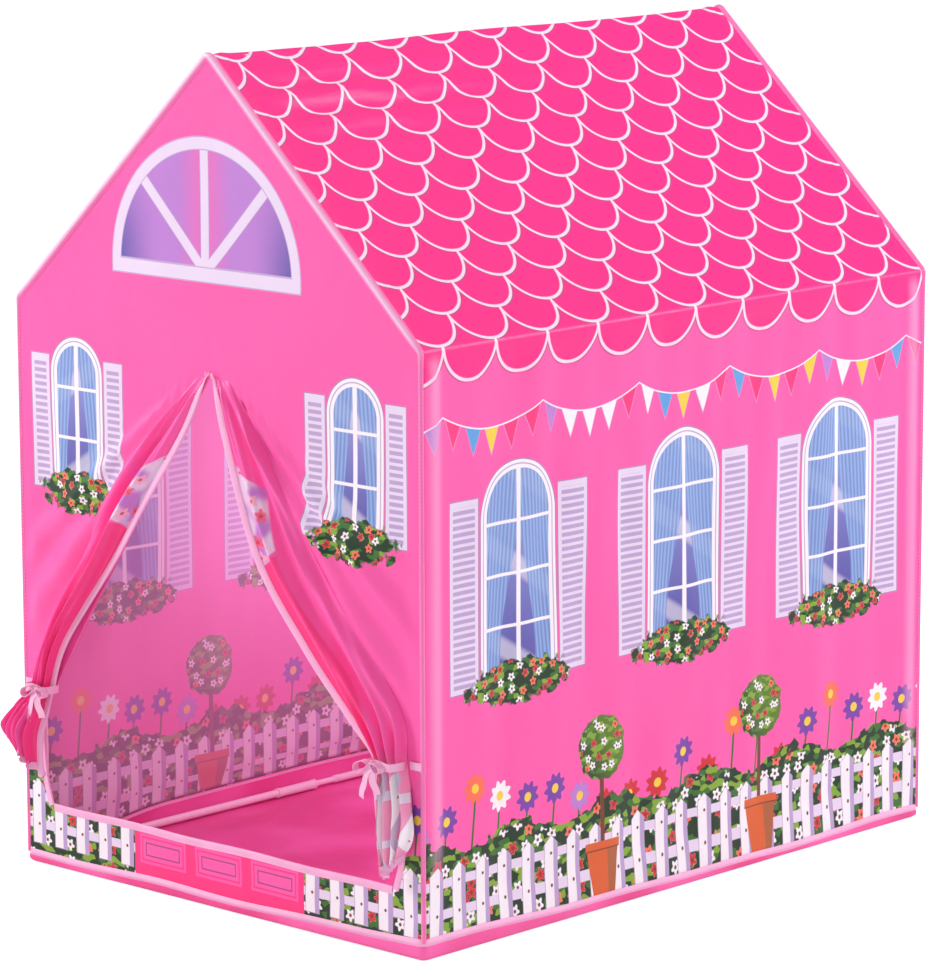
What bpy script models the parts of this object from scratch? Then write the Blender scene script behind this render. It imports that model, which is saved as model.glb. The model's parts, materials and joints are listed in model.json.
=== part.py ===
# Children's play tent: a house-shaped fabric cover over a frame of plastic poles and connectors.
# Metres, +Z up. The origin is the middle of the floor's underside, the door faces -Y and X runs across.
import math

import bmesh
import bpy
from mathutils import Matrix, Vector

COLLECTION_NAME = "kids_play_tent"

# Sizes over the cloth. The piping stands 4 mm proud of it, so the tent measures 0.69 by 0.93 by 1.03.
TENT_WIDTH = 0.682
TENT_LENGTH = 0.922
RIDGE_HEIGHT = 1.026
EAVE_HEIGHT = 0.711
SEAM_HEIGHT = 0.022
FABRIC = 0.001
SEAM_GAP = 0.0003

# Piping sewn round the gables and along the foot
PIPING_RADIUS = 0.0025
FOOT_CORNER_RADIUS = 0.008
FLOOR_BEND_RADIUS = 0.004
PIPING_ARC_STEPS = 4

# Poles: a tube with a collared sleeve plugs onto the thin spigot of the next tube
POLE_RADIUS = 0.005
SPIGOT_RADIUS = 0.0038
SPIGOT_WALL = 0.001
SLEEVE_RADIUS = 0.0061
SLEEVE_LENGTH = 0.070
COLLAR_RADIUS = 0.0067
COLLAR_LENGTH = 0.004
SPIGOT_INSERT = 0.045
NECK_SHOWN = 0.035
PLUG_CLEARANCE = 0.0004
ROUND_SIDES = 12

# Connectors: sockets that reach out of a solid middle
SOCKET_WALL = 0.0015
SOCKET_DEPTH = 0.030
BASE_STOP = 0.013
EAVE_STOP = 0.021
RIDGE_STOP = 0.013
GABLE_POLE_INSET = 0.022
KNUCKLE_SHARE = 0.985
SOCKET_PHASE_DEG = 8.0

# Door: an upside-down T cut in the front gable, whose two flaps are drawn back and tied
DOOR_HEIGHT = 0.571
DOOR_SIDE_MARGIN = 0.048
SILL_HEIGHT = 0.079
BINDING_RADIUS = 0.003
DOOR_EDGE_TUCK = 0.0096
FLAP_DEPTH = 0.030
FLAP_COLUMNS = 24
FLAP_ROWS = 16

# Ribbon ties
RIBBON_WIDTH = 0.009
RIBBON_THICKNESS = 0.0008
RING_CLEARANCE = 0.002
RING_ARC_STEPS = 3
KNOT_RADIUS = 0.006
TAIL_LENGTH = 0.042
TAIL_SPREAD_DEG = 24.0
KNOT_SEGMENTS = 10
KNOT_RINGS = 6

MERGE_DISTANCE = 0.00002
SHARP_ANGLE_DEG = 35.0
BEND_SEGMENTS = 3

# Sizes that follow from the ones above
HALF_WIDTH = TENT_WIDTH / 2
HALF_LENGTH = TENT_LENGTH / 2
SOCKET_BORE = POLE_RADIUS + PLUG_CLEARANCE
SOCKET_RADIUS = SOCKET_BORE + SOCKET_WALL
POLE_BORE = SPIGOT_RADIUS + PLUG_CLEARANCE
SPIGOT_BORE = SPIGOT_RADIUS - SPIGOT_WALL
FOLD_RADIUS = FABRIC + SEAM_GAP + SOCKET_RADIUS
DOOR_TOP = SILL_HEIGHT + DOOR_HEIGHT
DOOR_HALF_WIDTH = HALF_WIDTH - DOOR_SIDE_MARGIN
PIPING_OFFSET = PIPING_RADIUS - FABRIC
PANEL_INSET = FABRIC + SEAM_GAP
PANEL_FOOT = SEAM_HEIGHT + PIPING_RADIUS + SEAM_GAP
FRONT_FACE = -HALF_LENGTH
POLE_GABLE_Y = HALF_LENGTH - GABLE_POLE_INSET
POLE_SIDE_X = HALF_WIDTH - FOLD_RADIUS
BASE_POLE_Z = FABRIC + SEAM_GAP + SOCKET_RADIUS


def roof_peak():
    # Height at which the roof's two planes would meet if the fold over the ridge pole were sharp,
    # where the rounded fold tops out at RIDGE_HEIGHT.
    rise = RIDGE_HEIGHT - FOLD_RADIUS - EAVE_HEIGHT
    ratio = (FOLD_RADIUS / HALF_WIDTH) ** 2
    root = math.sqrt(FOLD_RADIUS**2 + ratio * (rise**2 - FOLD_RADIUS**2))
    return EAVE_HEIGHT + (rise + root) / (1 - ratio)


ROOF_PEAK = roof_peak()
SLOPE_LENGTH = math.hypot(HALF_WIDTH, ROOF_PEAK - EAVE_HEIGHT)
ROOF_NORMAL = Vector(((ROOF_PEAK - EAVE_HEIGHT) / SLOPE_LENGTH, HALF_WIDTH / SLOPE_LENGTH))
ROOF_NORMAL_ANGLE = math.atan2(ROOF_NORMAL.y, ROOF_NORMAL.x)
EAVE_POLE_Z = EAVE_HEIGHT - FOLD_RADIUS * (1 - ROOF_NORMAL.x) / ROOF_NORMAL.y
RIDGE_POLE_Z = ROOF_PEAK - FOLD_RADIUS / ROOF_NORMAL.y

# Where the ties draw in the flaps' door edges
TIE_ACROSS_SHARE = 0.940
TIE_DROP_SHARE = 0.735
TIE_STATION = 5

# Door flap stations, from the apex to the hem: (inner across, inner drop, outer across, outer drop,
# inner lift, outer lift, pleat height). Across is a share of the door's half width, drop a share of its
# height, and lift and pleat height are shares of the flap's depth.
RIGHT_FLAP_SHARES = (
    (0.020, 0.008, 0.075, -0.004, 0.10, 0.00, 0.05),
    (0.105, 0.120, 0.270, 0.100, 0.42, 0.00, 0.20),
    (0.330, 0.360, 0.590, 0.335, 0.85, 0.00, 0.36),
    (0.600, 0.530, 0.890, 0.500, 0.86, 0.00, 0.46),
    (0.810, 0.650, 1.060, 0.630, 0.66, 0.00, 0.48),
    (TIE_ACROSS_SHARE, TIE_DROP_SHARE, 1.080, TIE_DROP_SHARE, 0.34, 0.00, 0.44),
    (0.950, 0.810, 1.120, 0.815, 0.46, 0.10, 0.56),
    (0.980, 0.890, 1.130, 0.880, 0.60, 0.20, 0.62),
    (1.000, 0.975, 1.080, 0.930, 0.52, 0.20, 0.48),
)
LEFT_FLAP_SHARES = (
    (0.020, 0.008, 0.060, -0.004, 0.10, 0.00, 0.05),
    (0.120, 0.125, 0.300, 0.135, 0.30, 0.00, 0.22),
    (0.350, 0.290, 0.555, 0.300, 0.50, 0.00, 0.38),
    (0.540, 0.430, 0.715, 0.440, 0.56, 0.00, 0.46),
    (0.830, 0.620, 1.000, 0.635, 0.50, 0.00, 0.50),
    (TIE_ACROSS_SHARE, TIE_DROP_SHARE, 1.080, TIE_DROP_SHARE, 0.34, 0.00, 0.44),
    (0.955, 0.790, 1.130, 0.775, 0.58, 0.40, 0.62),
    (0.975, 0.850, 1.170, 0.815, 0.75, 0.95, 0.60),
    (0.990, 0.935, 1.120, 0.850, 0.60, 0.90, 0.50),
)
FLAP_PLEATS = {"right": 4, "left": 3}
LIFT_FADE_SHARE = 0.8
TIE_SPAN_SHARE = 0.16
RING_CORNER_SHARE = 0.35

COLOURS = {
    "cover_fabric": ((1.0, 0.20, 0.46), 0.55),
    "gable_fabric": ((1.0, 0.25, 0.50), 0.55),
    "flap_fabric": ((1.0, 0.20, 0.45), 0.55),
    "floor_fabric": ((0.90, 0.06, 0.28), 0.35),
    "piping_fabric": ((1.0, 0.52, 0.75), 0.60),
    "ribbon_fabric": ((1.0, 0.45, 0.68), 0.55),
    "pole_plastic": ((0.95, 0.72, 0.80), 0.40),
    "connector_plastic": ((0.93, 0.66, 0.76), 0.40),
}


def start_scene():
    # Empty the scene and make the collection that holds the tent's parts.
    for old in list(bpy.data.objects):
        bpy.data.objects.remove(old, do_unlink=True)
    collection = bpy.data.collections.new(COLLECTION_NAME)
    bpy.context.scene.collection.children.link(collection)
    return collection


def make_materials():
    made = {}
    for name, (colour, roughness) in COLOURS.items():
        material = bpy.data.materials.new(name)
        material.use_nodes = True
        shader = material.node_tree.nodes["Principled BSDF"]
        shader.inputs["Base Color"].default_value = (*colour, 1.0)
        shader.inputs["Roughness"].default_value = roughness
        shader.inputs["Metallic"].default_value = 0.0
        made[name] = material
    return made


def add_object(name, data, material, parent=None):
    piece = bpy.data.objects.new(name, data)
    PARTS.objects.link(piece)
    if not data.materials:
        data.materials.append(MATERIALS[material])
    piece.parent = parent
    return piece


def shade_round(mesh):
    mesh.shade_smooth()
    mesh.set_sharp_from_angle(angle=math.radians(SHARP_ANGLE_DEG))


def bench_object(name, data):
    # An object that is only worked on and then taken apart again.
    item = bpy.data.objects.new(name, data)
    bpy.context.scene.collection.objects.link(item)
    return item


def finished_mesh(item):
    # The item's shape as its modifiers leave it, as a new mesh; the item is removed.
    graph = bpy.context.evaluated_depsgraph_get()
    mesh = bpy.data.meshes.new_from_object(item.evaluated_get(graph))
    bpy.data.objects.remove(item, do_unlink=True)
    return mesh


def mesh_from_curve(curve):
    # The curve's surface as a welded mesh.
    mesh = finished_mesh(bench_object("curve", curve))
    shape = bmesh.new()
    shape.from_mesh(mesh)
    bmesh.ops.remove_doubles(shape, verts=shape.verts, dist=MERGE_DISTANCE)
    shape.to_mesh(mesh)
    shape.free()
    return mesh


def thicken(mesh, thickness, offset):
    # An open surface made into a closed shell, shaded round where it bends.
    item = bench_object("sheet", mesh)
    shell = item.modifiers.new("thickness", "SOLIDIFY")
    shell.thickness = thickness
    shell.offset = offset
    shell_mesh = finished_mesh(item)
    shade_round(shell_mesh)
    return shell_mesh


def poly_spline(curve, points, cyclic):
    spline = curve.splines.new("POLY")
    spline.points.add(len(points) - 1)
    for spot, point in zip(spline.points, points):
        spot.co = (*point, 0.0)[:3] + (1.0,) if len(point) == 2 else (*point, 1.0)
    spline.use_cyclic_u = cyclic
    return spline


def arc(centre, radius, start, end, steps):
    # Points on a circle about a 2-D centre, both ends included.
    points = []
    for step in range(steps + 1):
        angle = start + (end - start) * step / steps
        points.append((centre[0] + radius * math.cos(angle), centre[1] + radius * math.sin(angle)))
    return points


def gable_outline(inset, foot):
    # The house outline in X and Z, from the right foot over the ridge to the left foot, set in by
    # inset from the cover's outer face, with the folds over the eave and ridge poles rounded.
    radius = FOLD_RADIUS - inset
    eave = (POLE_SIDE_X, EAVE_POLE_Z)
    ridge = (0.0, RIDGE_POLE_Z)
    right = [(HALF_WIDTH - inset, foot)]
    right += arc(eave, radius, 0.0, ROOF_NORMAL_ANGLE, PIPING_ARC_STEPS)
    top = arc(ridge, radius, ROOF_NORMAL_ANGLE, math.pi - ROOF_NORMAL_ANGLE, PIPING_ARC_STEPS)
    left = [(-x, z) for x, z in reversed(right)]
    return right + top + left


def stand_up(piece, y):
    # Turns a shape drawn in X and Y so that its Y becomes Z, and puts its plane at y.
    piece.rotation_euler = (math.radians(90), 0.0, 0.0)
    piece.location = (0.0, y, 0.0)


def make_cover():
    # One length of cloth from the left foot over the roof to the right foot, folded over the poles.
    curve = bpy.data.curves.new("cover_profile", "CURVE")
    curve.dimensions = "2D"
    curve.extrude = HALF_LENGTH - PANEL_INSET
    curve.fill_mode = "NONE"
    poly_spline(curve, gable_outline(FABRIC / 2, PANEL_FOOT), cyclic=False)
    cover = add_object("roof_and_side_cover", thicken(mesh_from_curve(curve), FABRIC, 0.0), "cover_fabric")
    stand_up(cover, 0.0)


def door_outline():
    # The opening that the drawn back flaps leave, its slanting sides tucked under the flaps' edges.
    tie_x = DOOR_HALF_WIDTH * TIE_ACROSS_SHARE + DOOR_EDGE_TUCK
    tie_z = DOOR_TOP - DOOR_HEIGHT * TIE_DROP_SHARE
    right = [(DOOR_HALF_WIDTH, SILL_HEIGHT), (tie_x, tie_z)]
    left = [(-x, z) for x, z in reversed(right)]
    return [*right, (0.0, DOOR_TOP), *left]


def make_gable(name, y, door):
    curve = bpy.data.curves.new(name, "CURVE")
    curve.dimensions = "2D"
    curve.fill_mode = "BOTH"
    curve.extrude = FABRIC / 2
    poly_spline(curve, gable_outline(PANEL_INSET, PANEL_FOOT), cyclic=True)
    if door:
        poly_spline(curve, door_outline(), cyclic=True)
    panel = add_object(name, mesh_from_curve(curve), "gable_fabric")
    stand_up(panel, y)


def stands_upright(edge):
    low, high = sorted(vert.co.z for vert in edge.verts)
    return high > low


def lies_low(edge):
    return max(vert.co.z for vert in edge.verts) == 0.0 and len(edge.link_faces) == 2


def make_floor():
    # A tray: the floor sheet lies flat and its border is turned up to the seam.
    shape = bmesh.new()
    bmesh.ops.create_cube(shape, size=1.0)
    height = SEAM_HEIGHT - PIPING_RADIUS - SEAM_GAP
    bmesh.ops.scale(shape, vec=(TENT_WIDTH, TENT_LENGTH, height), verts=shape.verts)
    bmesh.ops.translate(shape, vec=(0.0, 0.0, height / 2), verts=shape.verts)
    shape.normal_update()
    top = [face for face in shape.faces if face.normal.z > 0.5]
    bmesh.ops.delete(shape, geom=top, context="FACES_ONLY")
    for radius, is_bend in ((FOOT_CORNER_RADIUS, stands_upright), (FLOOR_BEND_RADIUS, lies_low)):
        bends = [edge for edge in shape.edges if is_bend(edge)]
        bmesh.ops.bevel(
            shape, geom=bends, offset=radius, offset_type="OFFSET", segments=BEND_SEGMENTS, profile=0.5,
            affect="EDGES",
        )
    mesh = bpy.data.meshes.new("floor_sheet")
    shape.to_mesh(mesh)
    shape.free()
    add_object("floor_sheet", thicken(mesh, FABRIC, -1.0), "floor_fabric")


def rounded_rectangle(half_x, half_y, radius, steps):
    points = []
    corners = ((1, 1, 0.0), (-1, 1, 0.5), (-1, -1, 1.0), (1, -1, 1.5))
    for side_x, side_y, turn in corners:
        centre = (side_x * (half_x - radius), side_y * (half_y - radius))
        points += arc(centre, radius, turn * math.pi, (turn + 0.5) * math.pi, steps)
    return points


def piping_curve(name, points, cyclic, radius, material):
    curve = bpy.data.curves.new(name, "CURVE")
    curve.dimensions = "3D"
    curve.bevel_depth = radius
    curve.bevel_resolution = 2
    curve.use_fill_caps = not cyclic
    poly_spline(curve, points, cyclic)
    return add_object(name, curve, material)


def make_piping():
    # The piping's inner side is level with the cloth's, so it stands out at the seams. The gables'
    # piping starts on top of the piping along the foot.
    for name, side in (("front_piping", -1), ("rear_piping", 1)):
        y = side * (HALF_LENGTH + PIPING_OFFSET)
        outline = gable_outline(-PIPING_OFFSET, PANEL_FOOT)
        piping_curve(name, [(x, y, z) for x, z in outline], False, PIPING_RADIUS, "piping_fabric")
    loop = rounded_rectangle(
        HALF_WIDTH + PIPING_OFFSET, HALF_LENGTH + PIPING_OFFSET, FOOT_CORNER_RADIUS, PIPING_ARC_STEPS
    )
    piping_curve("foot_piping", [(x, y, SEAM_HEIGHT) for x, y in loop], True, PIPING_RADIUS, "piping_fabric")
    height = SILL_HEIGHT + SEAM_GAP + BINDING_RADIUS
    end = DOOR_HALF_WIDTH - BINDING_RADIUS
    y = FRONT_FACE + FABRIC / 2
    sill = [(-end, y, height), (end, y, height)]
    piping_curve("sill_binding", sill, False, BINDING_RADIUS, "piping_fabric")


def turned_tube(name, outline, start, direction, material):
    # A profile of (radius, distance) turned about the line that runs from start along direction.
    mesh = bpy.data.meshes.new(name)
    shape = bmesh.new()
    ring = [shape.verts.new((radius, 0.0, along)) for radius, along in outline]
    for first, second in zip(ring, ring[1:] + ring[:1]):
        shape.edges.new((first, second))
    shape.to_mesh(mesh)
    shape.free()
    tube = add_object(name, mesh, material)
    turn = tube.modifiers.new("turn", "SCREW")
    turn.steps = ROUND_SIDES
    turn.render_steps = ROUND_SIDES
    turn.use_merge_vertices = True
    turn.merge_threshold = MERGE_DISTANCE
    turn.use_smooth_shade = True
    tube.rotation_mode = "QUATERNION"
    tube.rotation_quaternion = direction.to_track_quat("Z", "Y")
    tube.location = start
    return tube


def plain_pole(name, start, direction, length):
    outline = [(POLE_RADIUS, length), (POLE_RADIUS, 0.0), (POLE_BORE, 0.0), (POLE_BORE, length)]
    turned_tube(name, outline, start, direction, "pole_plastic")


def jointed_pole(first_name, second_name, start, direction, length):
    # The first tube ends in a collared sleeve over the middle, the second in the spigot inside it.
    middle = length / 2
    tip = middle + SLEEVE_LENGTH / 2
    root = middle - SLEEVE_LENGTH / 2
    first = [
        (COLLAR_RADIUS, tip),
        (COLLAR_RADIUS, tip - COLLAR_LENGTH),
        (SLEEVE_RADIUS, tip - COLLAR_LENGTH),
        (SLEEVE_RADIUS, root + COLLAR_LENGTH),
        (COLLAR_RADIUS, root + COLLAR_LENGTH),
        (COLLAR_RADIUS, root),
        (POLE_RADIUS, root),
        (POLE_RADIUS, 0.0),
        (POLE_BORE, 0.0),
        (POLE_BORE, tip),
    ]
    turned_tube(first_name, first, start, direction, "pole_plastic")
    spigot_start = tip - SPIGOT_INSERT
    shoulder = SPIGOT_INSERT + NECK_SHOWN
    taper = POLE_RADIUS - SPIGOT_RADIUS
    second_length = length - spigot_start
    second = [
        (POLE_RADIUS, second_length),
        (POLE_RADIUS, shoulder + taper),
        (SPIGOT_RADIUS, shoulder),
        (SPIGOT_RADIUS, 0.0),
        (SPIGOT_BORE, 0.0),
        (SPIGOT_BORE, second_length),
    ]
    turned_tube(second_name, second, start + direction * spigot_start, direction, "pole_plastic")


def pole_between(names, centre_a, centre_b, stop_a, stop_b):
    # A pole from one connector to the next, its ends a gap short of the bottoms of their sockets.
    run = centre_b - centre_a
    direction = run.normalized()
    start = centre_a + direction * (stop_a + SEAM_GAP)
    length = run.length - stop_a - stop_b - 2 * SEAM_GAP
    if len(names) == 1:
        plain_pole(names[0], start, direction, length)
    else:
        jointed_pole(names[0], names[1], start, direction, length)


def cylinder_mesh(name, direction, near, far, radius, phase):
    # A solid cylinder round a line through the origin, between two distances along direction. Phase
    # turns its sides about the line, so that the sides of two sockets that cross don't coincide.
    mesh = bpy.data.meshes.new(name)
    shape = bmesh.new()
    turn = direction.to_track_quat("Z", "Y").to_matrix().to_4x4() @ Matrix.Rotation(phase, 4, "Z")
    place = Matrix.Translation(direction * (near + far) / 2) @ turn
    bmesh.ops.create_cone(
        shape, cap_ends=True, segments=ROUND_SIDES, radius1=radius, radius2=radius, depth=far - near,
        matrix=place,
    )
    shape.to_mesh(mesh)
    shape.free()
    return mesh


def combine(mesh, operand, operation):
    # One Boolean between two meshes, as a new mesh.
    target = bench_object("target", mesh)
    tool = bench_object("tool", operand)
    cut = target.modifiers.new("combine", "BOOLEAN")
    cut.operation = operation
    cut.object = tool
    cut.solver = "EXACT"
    result = finished_mesh(target)
    bpy.data.objects.remove(tool, do_unlink=True)
    return result


def ball_mesh(centre, radius, segments, rings):
    mesh = bpy.data.meshes.new("ball")
    shape = bmesh.new()
    bmesh.ops.create_uvsphere(
        shape, u_segments=segments, v_segments=rings, radius=radius, matrix=Matrix.Translation(centre)
    )
    shape.to_mesh(mesh)
    shape.free()
    return mesh


def make_connector(name, centre, arms, stop):
    # Sockets of equal length on a solid middle; each bore is as deep as its pole goes in.
    reach = stop + SOCKET_DEPTH
    origin = Vector((0.0, 0.0, 0.0))
    body = ball_mesh(origin, SOCKET_RADIUS * KNUCKLE_SHARE, KNOT_SEGMENTS, KNOT_RINGS)
    for index, arm in enumerate(arms):
        phase = math.radians(SOCKET_PHASE_DEG) * index
        body = combine(body, cylinder_mesh("arm", arm, 0.0, reach, SOCKET_RADIUS, phase), "UNION")
    for arm in arms:
        bore = cylinder_mesh("bore", arm, stop, reach + SOCKET_DEPTH, SOCKET_BORE, 0.0)
        body = combine(body, bore, "DIFFERENCE")
    shade_round(body)
    piece = add_object(name, body, "connector_plastic")
    piece.location = centre


def make_frame():
    # Ten connectors and the poles between them: base, uprights, eaves, rafters and ridge.
    up = Vector((0.0, 0.0, 1.0))
    ridge = {}
    base = {}
    eave = {}
    for end, sign_y in (("front", -1), ("rear", 1)):
        inward_y = Vector((0.0, -sign_y, 0.0))
        ridge[end] = Vector((0.0, sign_y * POLE_GABLE_Y, RIDGE_POLE_Z))
        slopes = []
        for side, sign_x in (("left", -1), ("right", 1)):
            inward_x = Vector((-sign_x, 0.0, 0.0))
            base[side, end] = Vector((sign_x * POLE_SIDE_X, sign_y * POLE_GABLE_Y, BASE_POLE_Z))
            eave[side, end] = Vector((sign_x * POLE_SIDE_X, sign_y * POLE_GABLE_Y, EAVE_POLE_Z))
            slope = (ridge[end] - eave[side, end]).normalized()
            slopes.append(-slope)
            make_connector(f"base_corner_{side}_{end}", base[side, end], (inward_x, inward_y, up), BASE_STOP)
            arms = (inward_x, inward_y, -up, slope)
            make_connector(f"eave_corner_{side}_{end}", eave[side, end], arms, EAVE_STOP)
            names = (f"upright_{side}_{end}_lower", f"upright_{side}_{end}_upper")
            pole_between(names, base[side, end], eave[side, end], BASE_STOP, EAVE_STOP)
            names = (f"rafter_{side}_{end}",)
            pole_between(names, eave[side, end], ridge[end], EAVE_STOP, RIDGE_STOP)
        make_connector(f"ridge_joint_{end}", ridge[end], (*slopes, inward_y), RIDGE_STOP)
    for side in ("left", "right"):
        names = (f"base_pole_{side}_front", f"base_pole_{side}_rear")
        pole_between(names, base[side, "front"], base[side, "rear"], BASE_STOP, BASE_STOP)
        names = (f"eave_pole_{side}_front", f"eave_pole_{side}_rear")
        pole_between(names, eave[side, "front"], eave[side, "rear"], EAVE_STOP, EAVE_STOP)
    for end in ("front", "rear"):
        names = (f"base_pole_{end}_left", f"base_pole_{end}_right")
        pole_between(names, base["left", end], base["right", end], BASE_STOP, BASE_STOP)
        names = (f"eave_pole_{end}_left", f"eave_pole_{end}_right")
        pole_between(names, eave["left", end], eave["right", end], EAVE_STOP, EAVE_STOP)
    names = ("ridge_pole_front", "ridge_pole_rear")
    pole_between(names, ridge["front"], ridge["rear"], RIDGE_STOP, RIDGE_STOP)


def blend_stations(shares, position):
    # Smooth values between the stations of a flap, by a Catmull-Rom curve through them.
    count = len(shares) - 1
    at = min(position * count, count - 1e-9)
    index = int(at)
    part = at - index
    before, first, second, after = (
        shares[max(index - 1, 0)], shares[index], shares[index + 1], shares[min(index + 2, count)]
    )
    values = []
    for p0, p1, p2, p3 in zip(before, first, second, after):
        bend = (2 * p0 - 5 * p1 + 4 * p2 - p3) * part**2 + (3 * p1 - p0 - 3 * p2 + p3) * part**3
        values.append(0.5 * (2 * p1 + (p2 - p0) * part + bend))
    return values


def flap_point(shares, pleats, across, position):
    # A point of the right-hand flap: across runs from its door edge to its outer edge, position from
    # the apex to the hem. Y counts forward from the gable's face.
    inner_x, inner_drop, outer_x, outer_drop, lift, outer_lift, pleat = blend_stations(shares, position)
    x = DOOR_HALF_WIDTH * (inner_x + (outer_x - inner_x) * across)
    z = DOOR_TOP - DOOR_HEIGHT * (inner_drop + (outer_drop - inner_drop) * across)
    wave = 0.5 - 0.5 * math.cos(2 * math.pi * pleats * across)
    carried = outer_lift + (lift - outer_lift) * (1 - across) ** LIFT_FADE_SHARE
    forward = FLAP_DEPTH * (carried + pleat * wave * (1 - across / 2))
    return x, forward, z


def flap_standoff(position):
    # Room between the flap and the gable: a seam's gap, and at the tie the ribbon that runs behind.
    tie = TIE_STATION / (len(RIGHT_FLAP_SHARES) - 1)
    closeness = max(0.0, 1 - abs(position - tie) / TIE_SPAN_SHARE)
    ease = closeness * closeness * (3 - 2 * closeness)
    return FABRIC / 2 + SEAM_GAP + (RIBBON_THICKNESS + 2 * SEAM_GAP) * ease


def make_flap(side, shares, pivot):
    # The gathered cloth of one flap: a grid laid in pleats that fan from the apex to the tie.
    sign = 1 if side == "right" else -1
    shape = bmesh.new()
    bmesh.ops.create_grid(shape, x_segments=FLAP_COLUMNS, y_segments=FLAP_ROWS, size=0.5)
    for vert in shape.verts:
        across = vert.co.x + 0.5
        position = 0.5 - vert.co.y
        x, forward, z = flap_point(shares, FLAP_PLEATS[side], across, position)
        y = FRONT_FACE - flap_standoff(position) - forward
        vert.co = Vector((sign * x, y, z)) - pivot.location
    mesh = bpy.data.meshes.new(f"{side}_door_flap")
    shape.to_mesh(mesh)
    shape.free()
    if sign > 0:
        mesh.flip_normals()
    add_object(f"{side}_door_flap", thicken(mesh, FABRIC, 0.0), "flap_fabric", parent=pivot)


def neck_box(shares, pleats):
    # How far the flap reaches within the ribbon's width: low X, high X and the furthest forward.
    station = TIE_STATION / (len(shares) - 1)
    reach = RIBBON_WIDTH / 2 + RING_CLEARANCE
    xs = []
    depths = []
    for step in (-1 / FLAP_ROWS, 1 / FLAP_ROWS):
        for column in range(FLAP_COLUMNS + 1):
            across = column / FLAP_COLUMNS
            at_tie = Vector(flap_point(shares, pleats, across, station))
            beyond = Vector(flap_point(shares, pleats, across, station + step))
            edge = at_tie.lerp(beyond, min(1.0, reach / abs(beyond.z - at_tie.z)))
            xs += [at_tie.x, edge.x]
            depths += [at_tie.y, edge.y]
    return min(xs), max(xs), max(depths) + flap_standoff(station)


def tail_tilt(shares, pleats, knot):
    # Angle forward of straight down at which a ribbon tail from the knot clears the cloth below it.
    station = TIE_STATION / (len(shares) - 1)
    half_span = RIBBON_WIDTH + TAIL_LENGTH * math.sin(math.radians(TAIL_SPREAD_DEG / 2))
    clear = FABRIC / 2 + 2 * RIBBON_THICKNESS + RING_CLEARANCE
    steepest = 0.0
    for row in range(1, FLAP_ROWS + 1):
        position = row / FLAP_ROWS
        for column in range(FLAP_COLUMNS + 1):
            x, forward, z = flap_point(shares, pleats, column / FLAP_COLUMNS, position)
            drop = knot.z - z
            if position <= station or drop > TAIL_LENGTH + RIBBON_WIDTH or abs(x - knot.x) > half_span:
                continue
            needed = forward + flap_standoff(position) + clear - knot.y
            steepest = max(steepest, needed / max(drop, RIBBON_WIDTH / 2))
    return math.atan(steepest)


def make_tie(side, shares, pivot):
    # A ribbon round the gathered neck with its knot and tails, and the strap that sews it to the corner.
    sign = 1 if side == "right" else -1
    low, high, depth = neck_box(shares, FLAP_PLEATS[side])
    margin = FABRIC / 2 + RING_CLEARANCE
    height = DOOR_TOP - DOOR_HEIGHT * shares[TIE_STATION][1]
    back = SEAM_GAP + RIBBON_THICKNESS / 2
    front = depth + margin + RIBBON_THICKNESS / 2
    half_x = (high - low) / 2 + margin + RIBBON_THICKNESS / 2
    half_y = (front - back) / 2
    middle = Vector((sign * (low + high) / 2, FRONT_FACE - (front + back) / 2, height))
    curve = bpy.data.curves.new("ribbon_ring", "CURVE")
    curve.dimensions = "2D"
    curve.fill_mode = "NONE"
    curve.extrude = RIBBON_WIDTH / 2
    poly_spline(curve, rounded_rectangle(half_x, half_y, half_y * RING_CORNER_SHARE, RING_ARC_STEPS), True)
    body = thicken(mesh_from_curve(curve), RIBBON_THICKNESS, 0.0)
    knot = Vector((0.0, -half_y - KNOT_RADIUS + RIBBON_THICKNESS / 4, 0.0))
    body = combine(body, ball_mesh(knot, KNOT_RADIUS, KNOT_SEGMENTS, KNOT_RINGS), "UNION")
    knot_place = Vector(((low + high) / 2, front + KNOT_RADIUS, height))
    tilt = Matrix.Rotation(-tail_tilt(shares, FLAP_PLEATS[side], knot_place), 4, "X")
    for turn in (-1, 1):
        tail = bpy.data.meshes.new("tail")
        shape = bmesh.new()
        bmesh.ops.create_cube(shape, size=1.0)
        bmesh.ops.scale(shape, vec=(RIBBON_WIDTH, RIBBON_THICKNESS, TAIL_LENGTH), verts=shape.verts)
        bmesh.ops.translate(shape, vec=(0.0, turn * RIBBON_THICKNESS, -TAIL_LENGTH / 2), verts=shape.verts)
        swing = Matrix.Rotation(math.radians(turn * TAIL_SPREAD_DEG / 2), 4, "Y")
        bmesh.ops.transform(shape, matrix=Matrix.Translation(knot) @ tilt @ swing, verts=shape.verts)
        shape.to_mesh(tail)
        shape.free()
        body = combine(body, tail, "UNION")
    shade_round(body)
    bow = add_object(f"{side}_tie_bow", body, "ribbon_fabric", parent=pivot)
    bow.location = middle - pivot.location

    strap_start = (low + high) / 2 + half_x + RIBBON_THICKNESS / 2 + SEAM_GAP
    strap_end = HALF_WIDTH + PIPING_OFFSET - PIPING_RADIUS - SEAM_GAP
    shape = bmesh.new()
    bmesh.ops.create_cube(shape, size=1.0)
    size = (strap_end - strap_start, RIBBON_THICKNESS, RIBBON_WIDTH)
    bmesh.ops.scale(shape, vec=size, verts=shape.verts)
    mesh = bpy.data.meshes.new(f"{side}_tie_strap")
    shape.to_mesh(mesh)
    shape.free()
    strap = add_object(f"{side}_tie_strap", mesh, "ribbon_fabric")
    strap.location = (sign * (strap_start + strap_end) / 2, FRONT_FACE - back, height)


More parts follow.
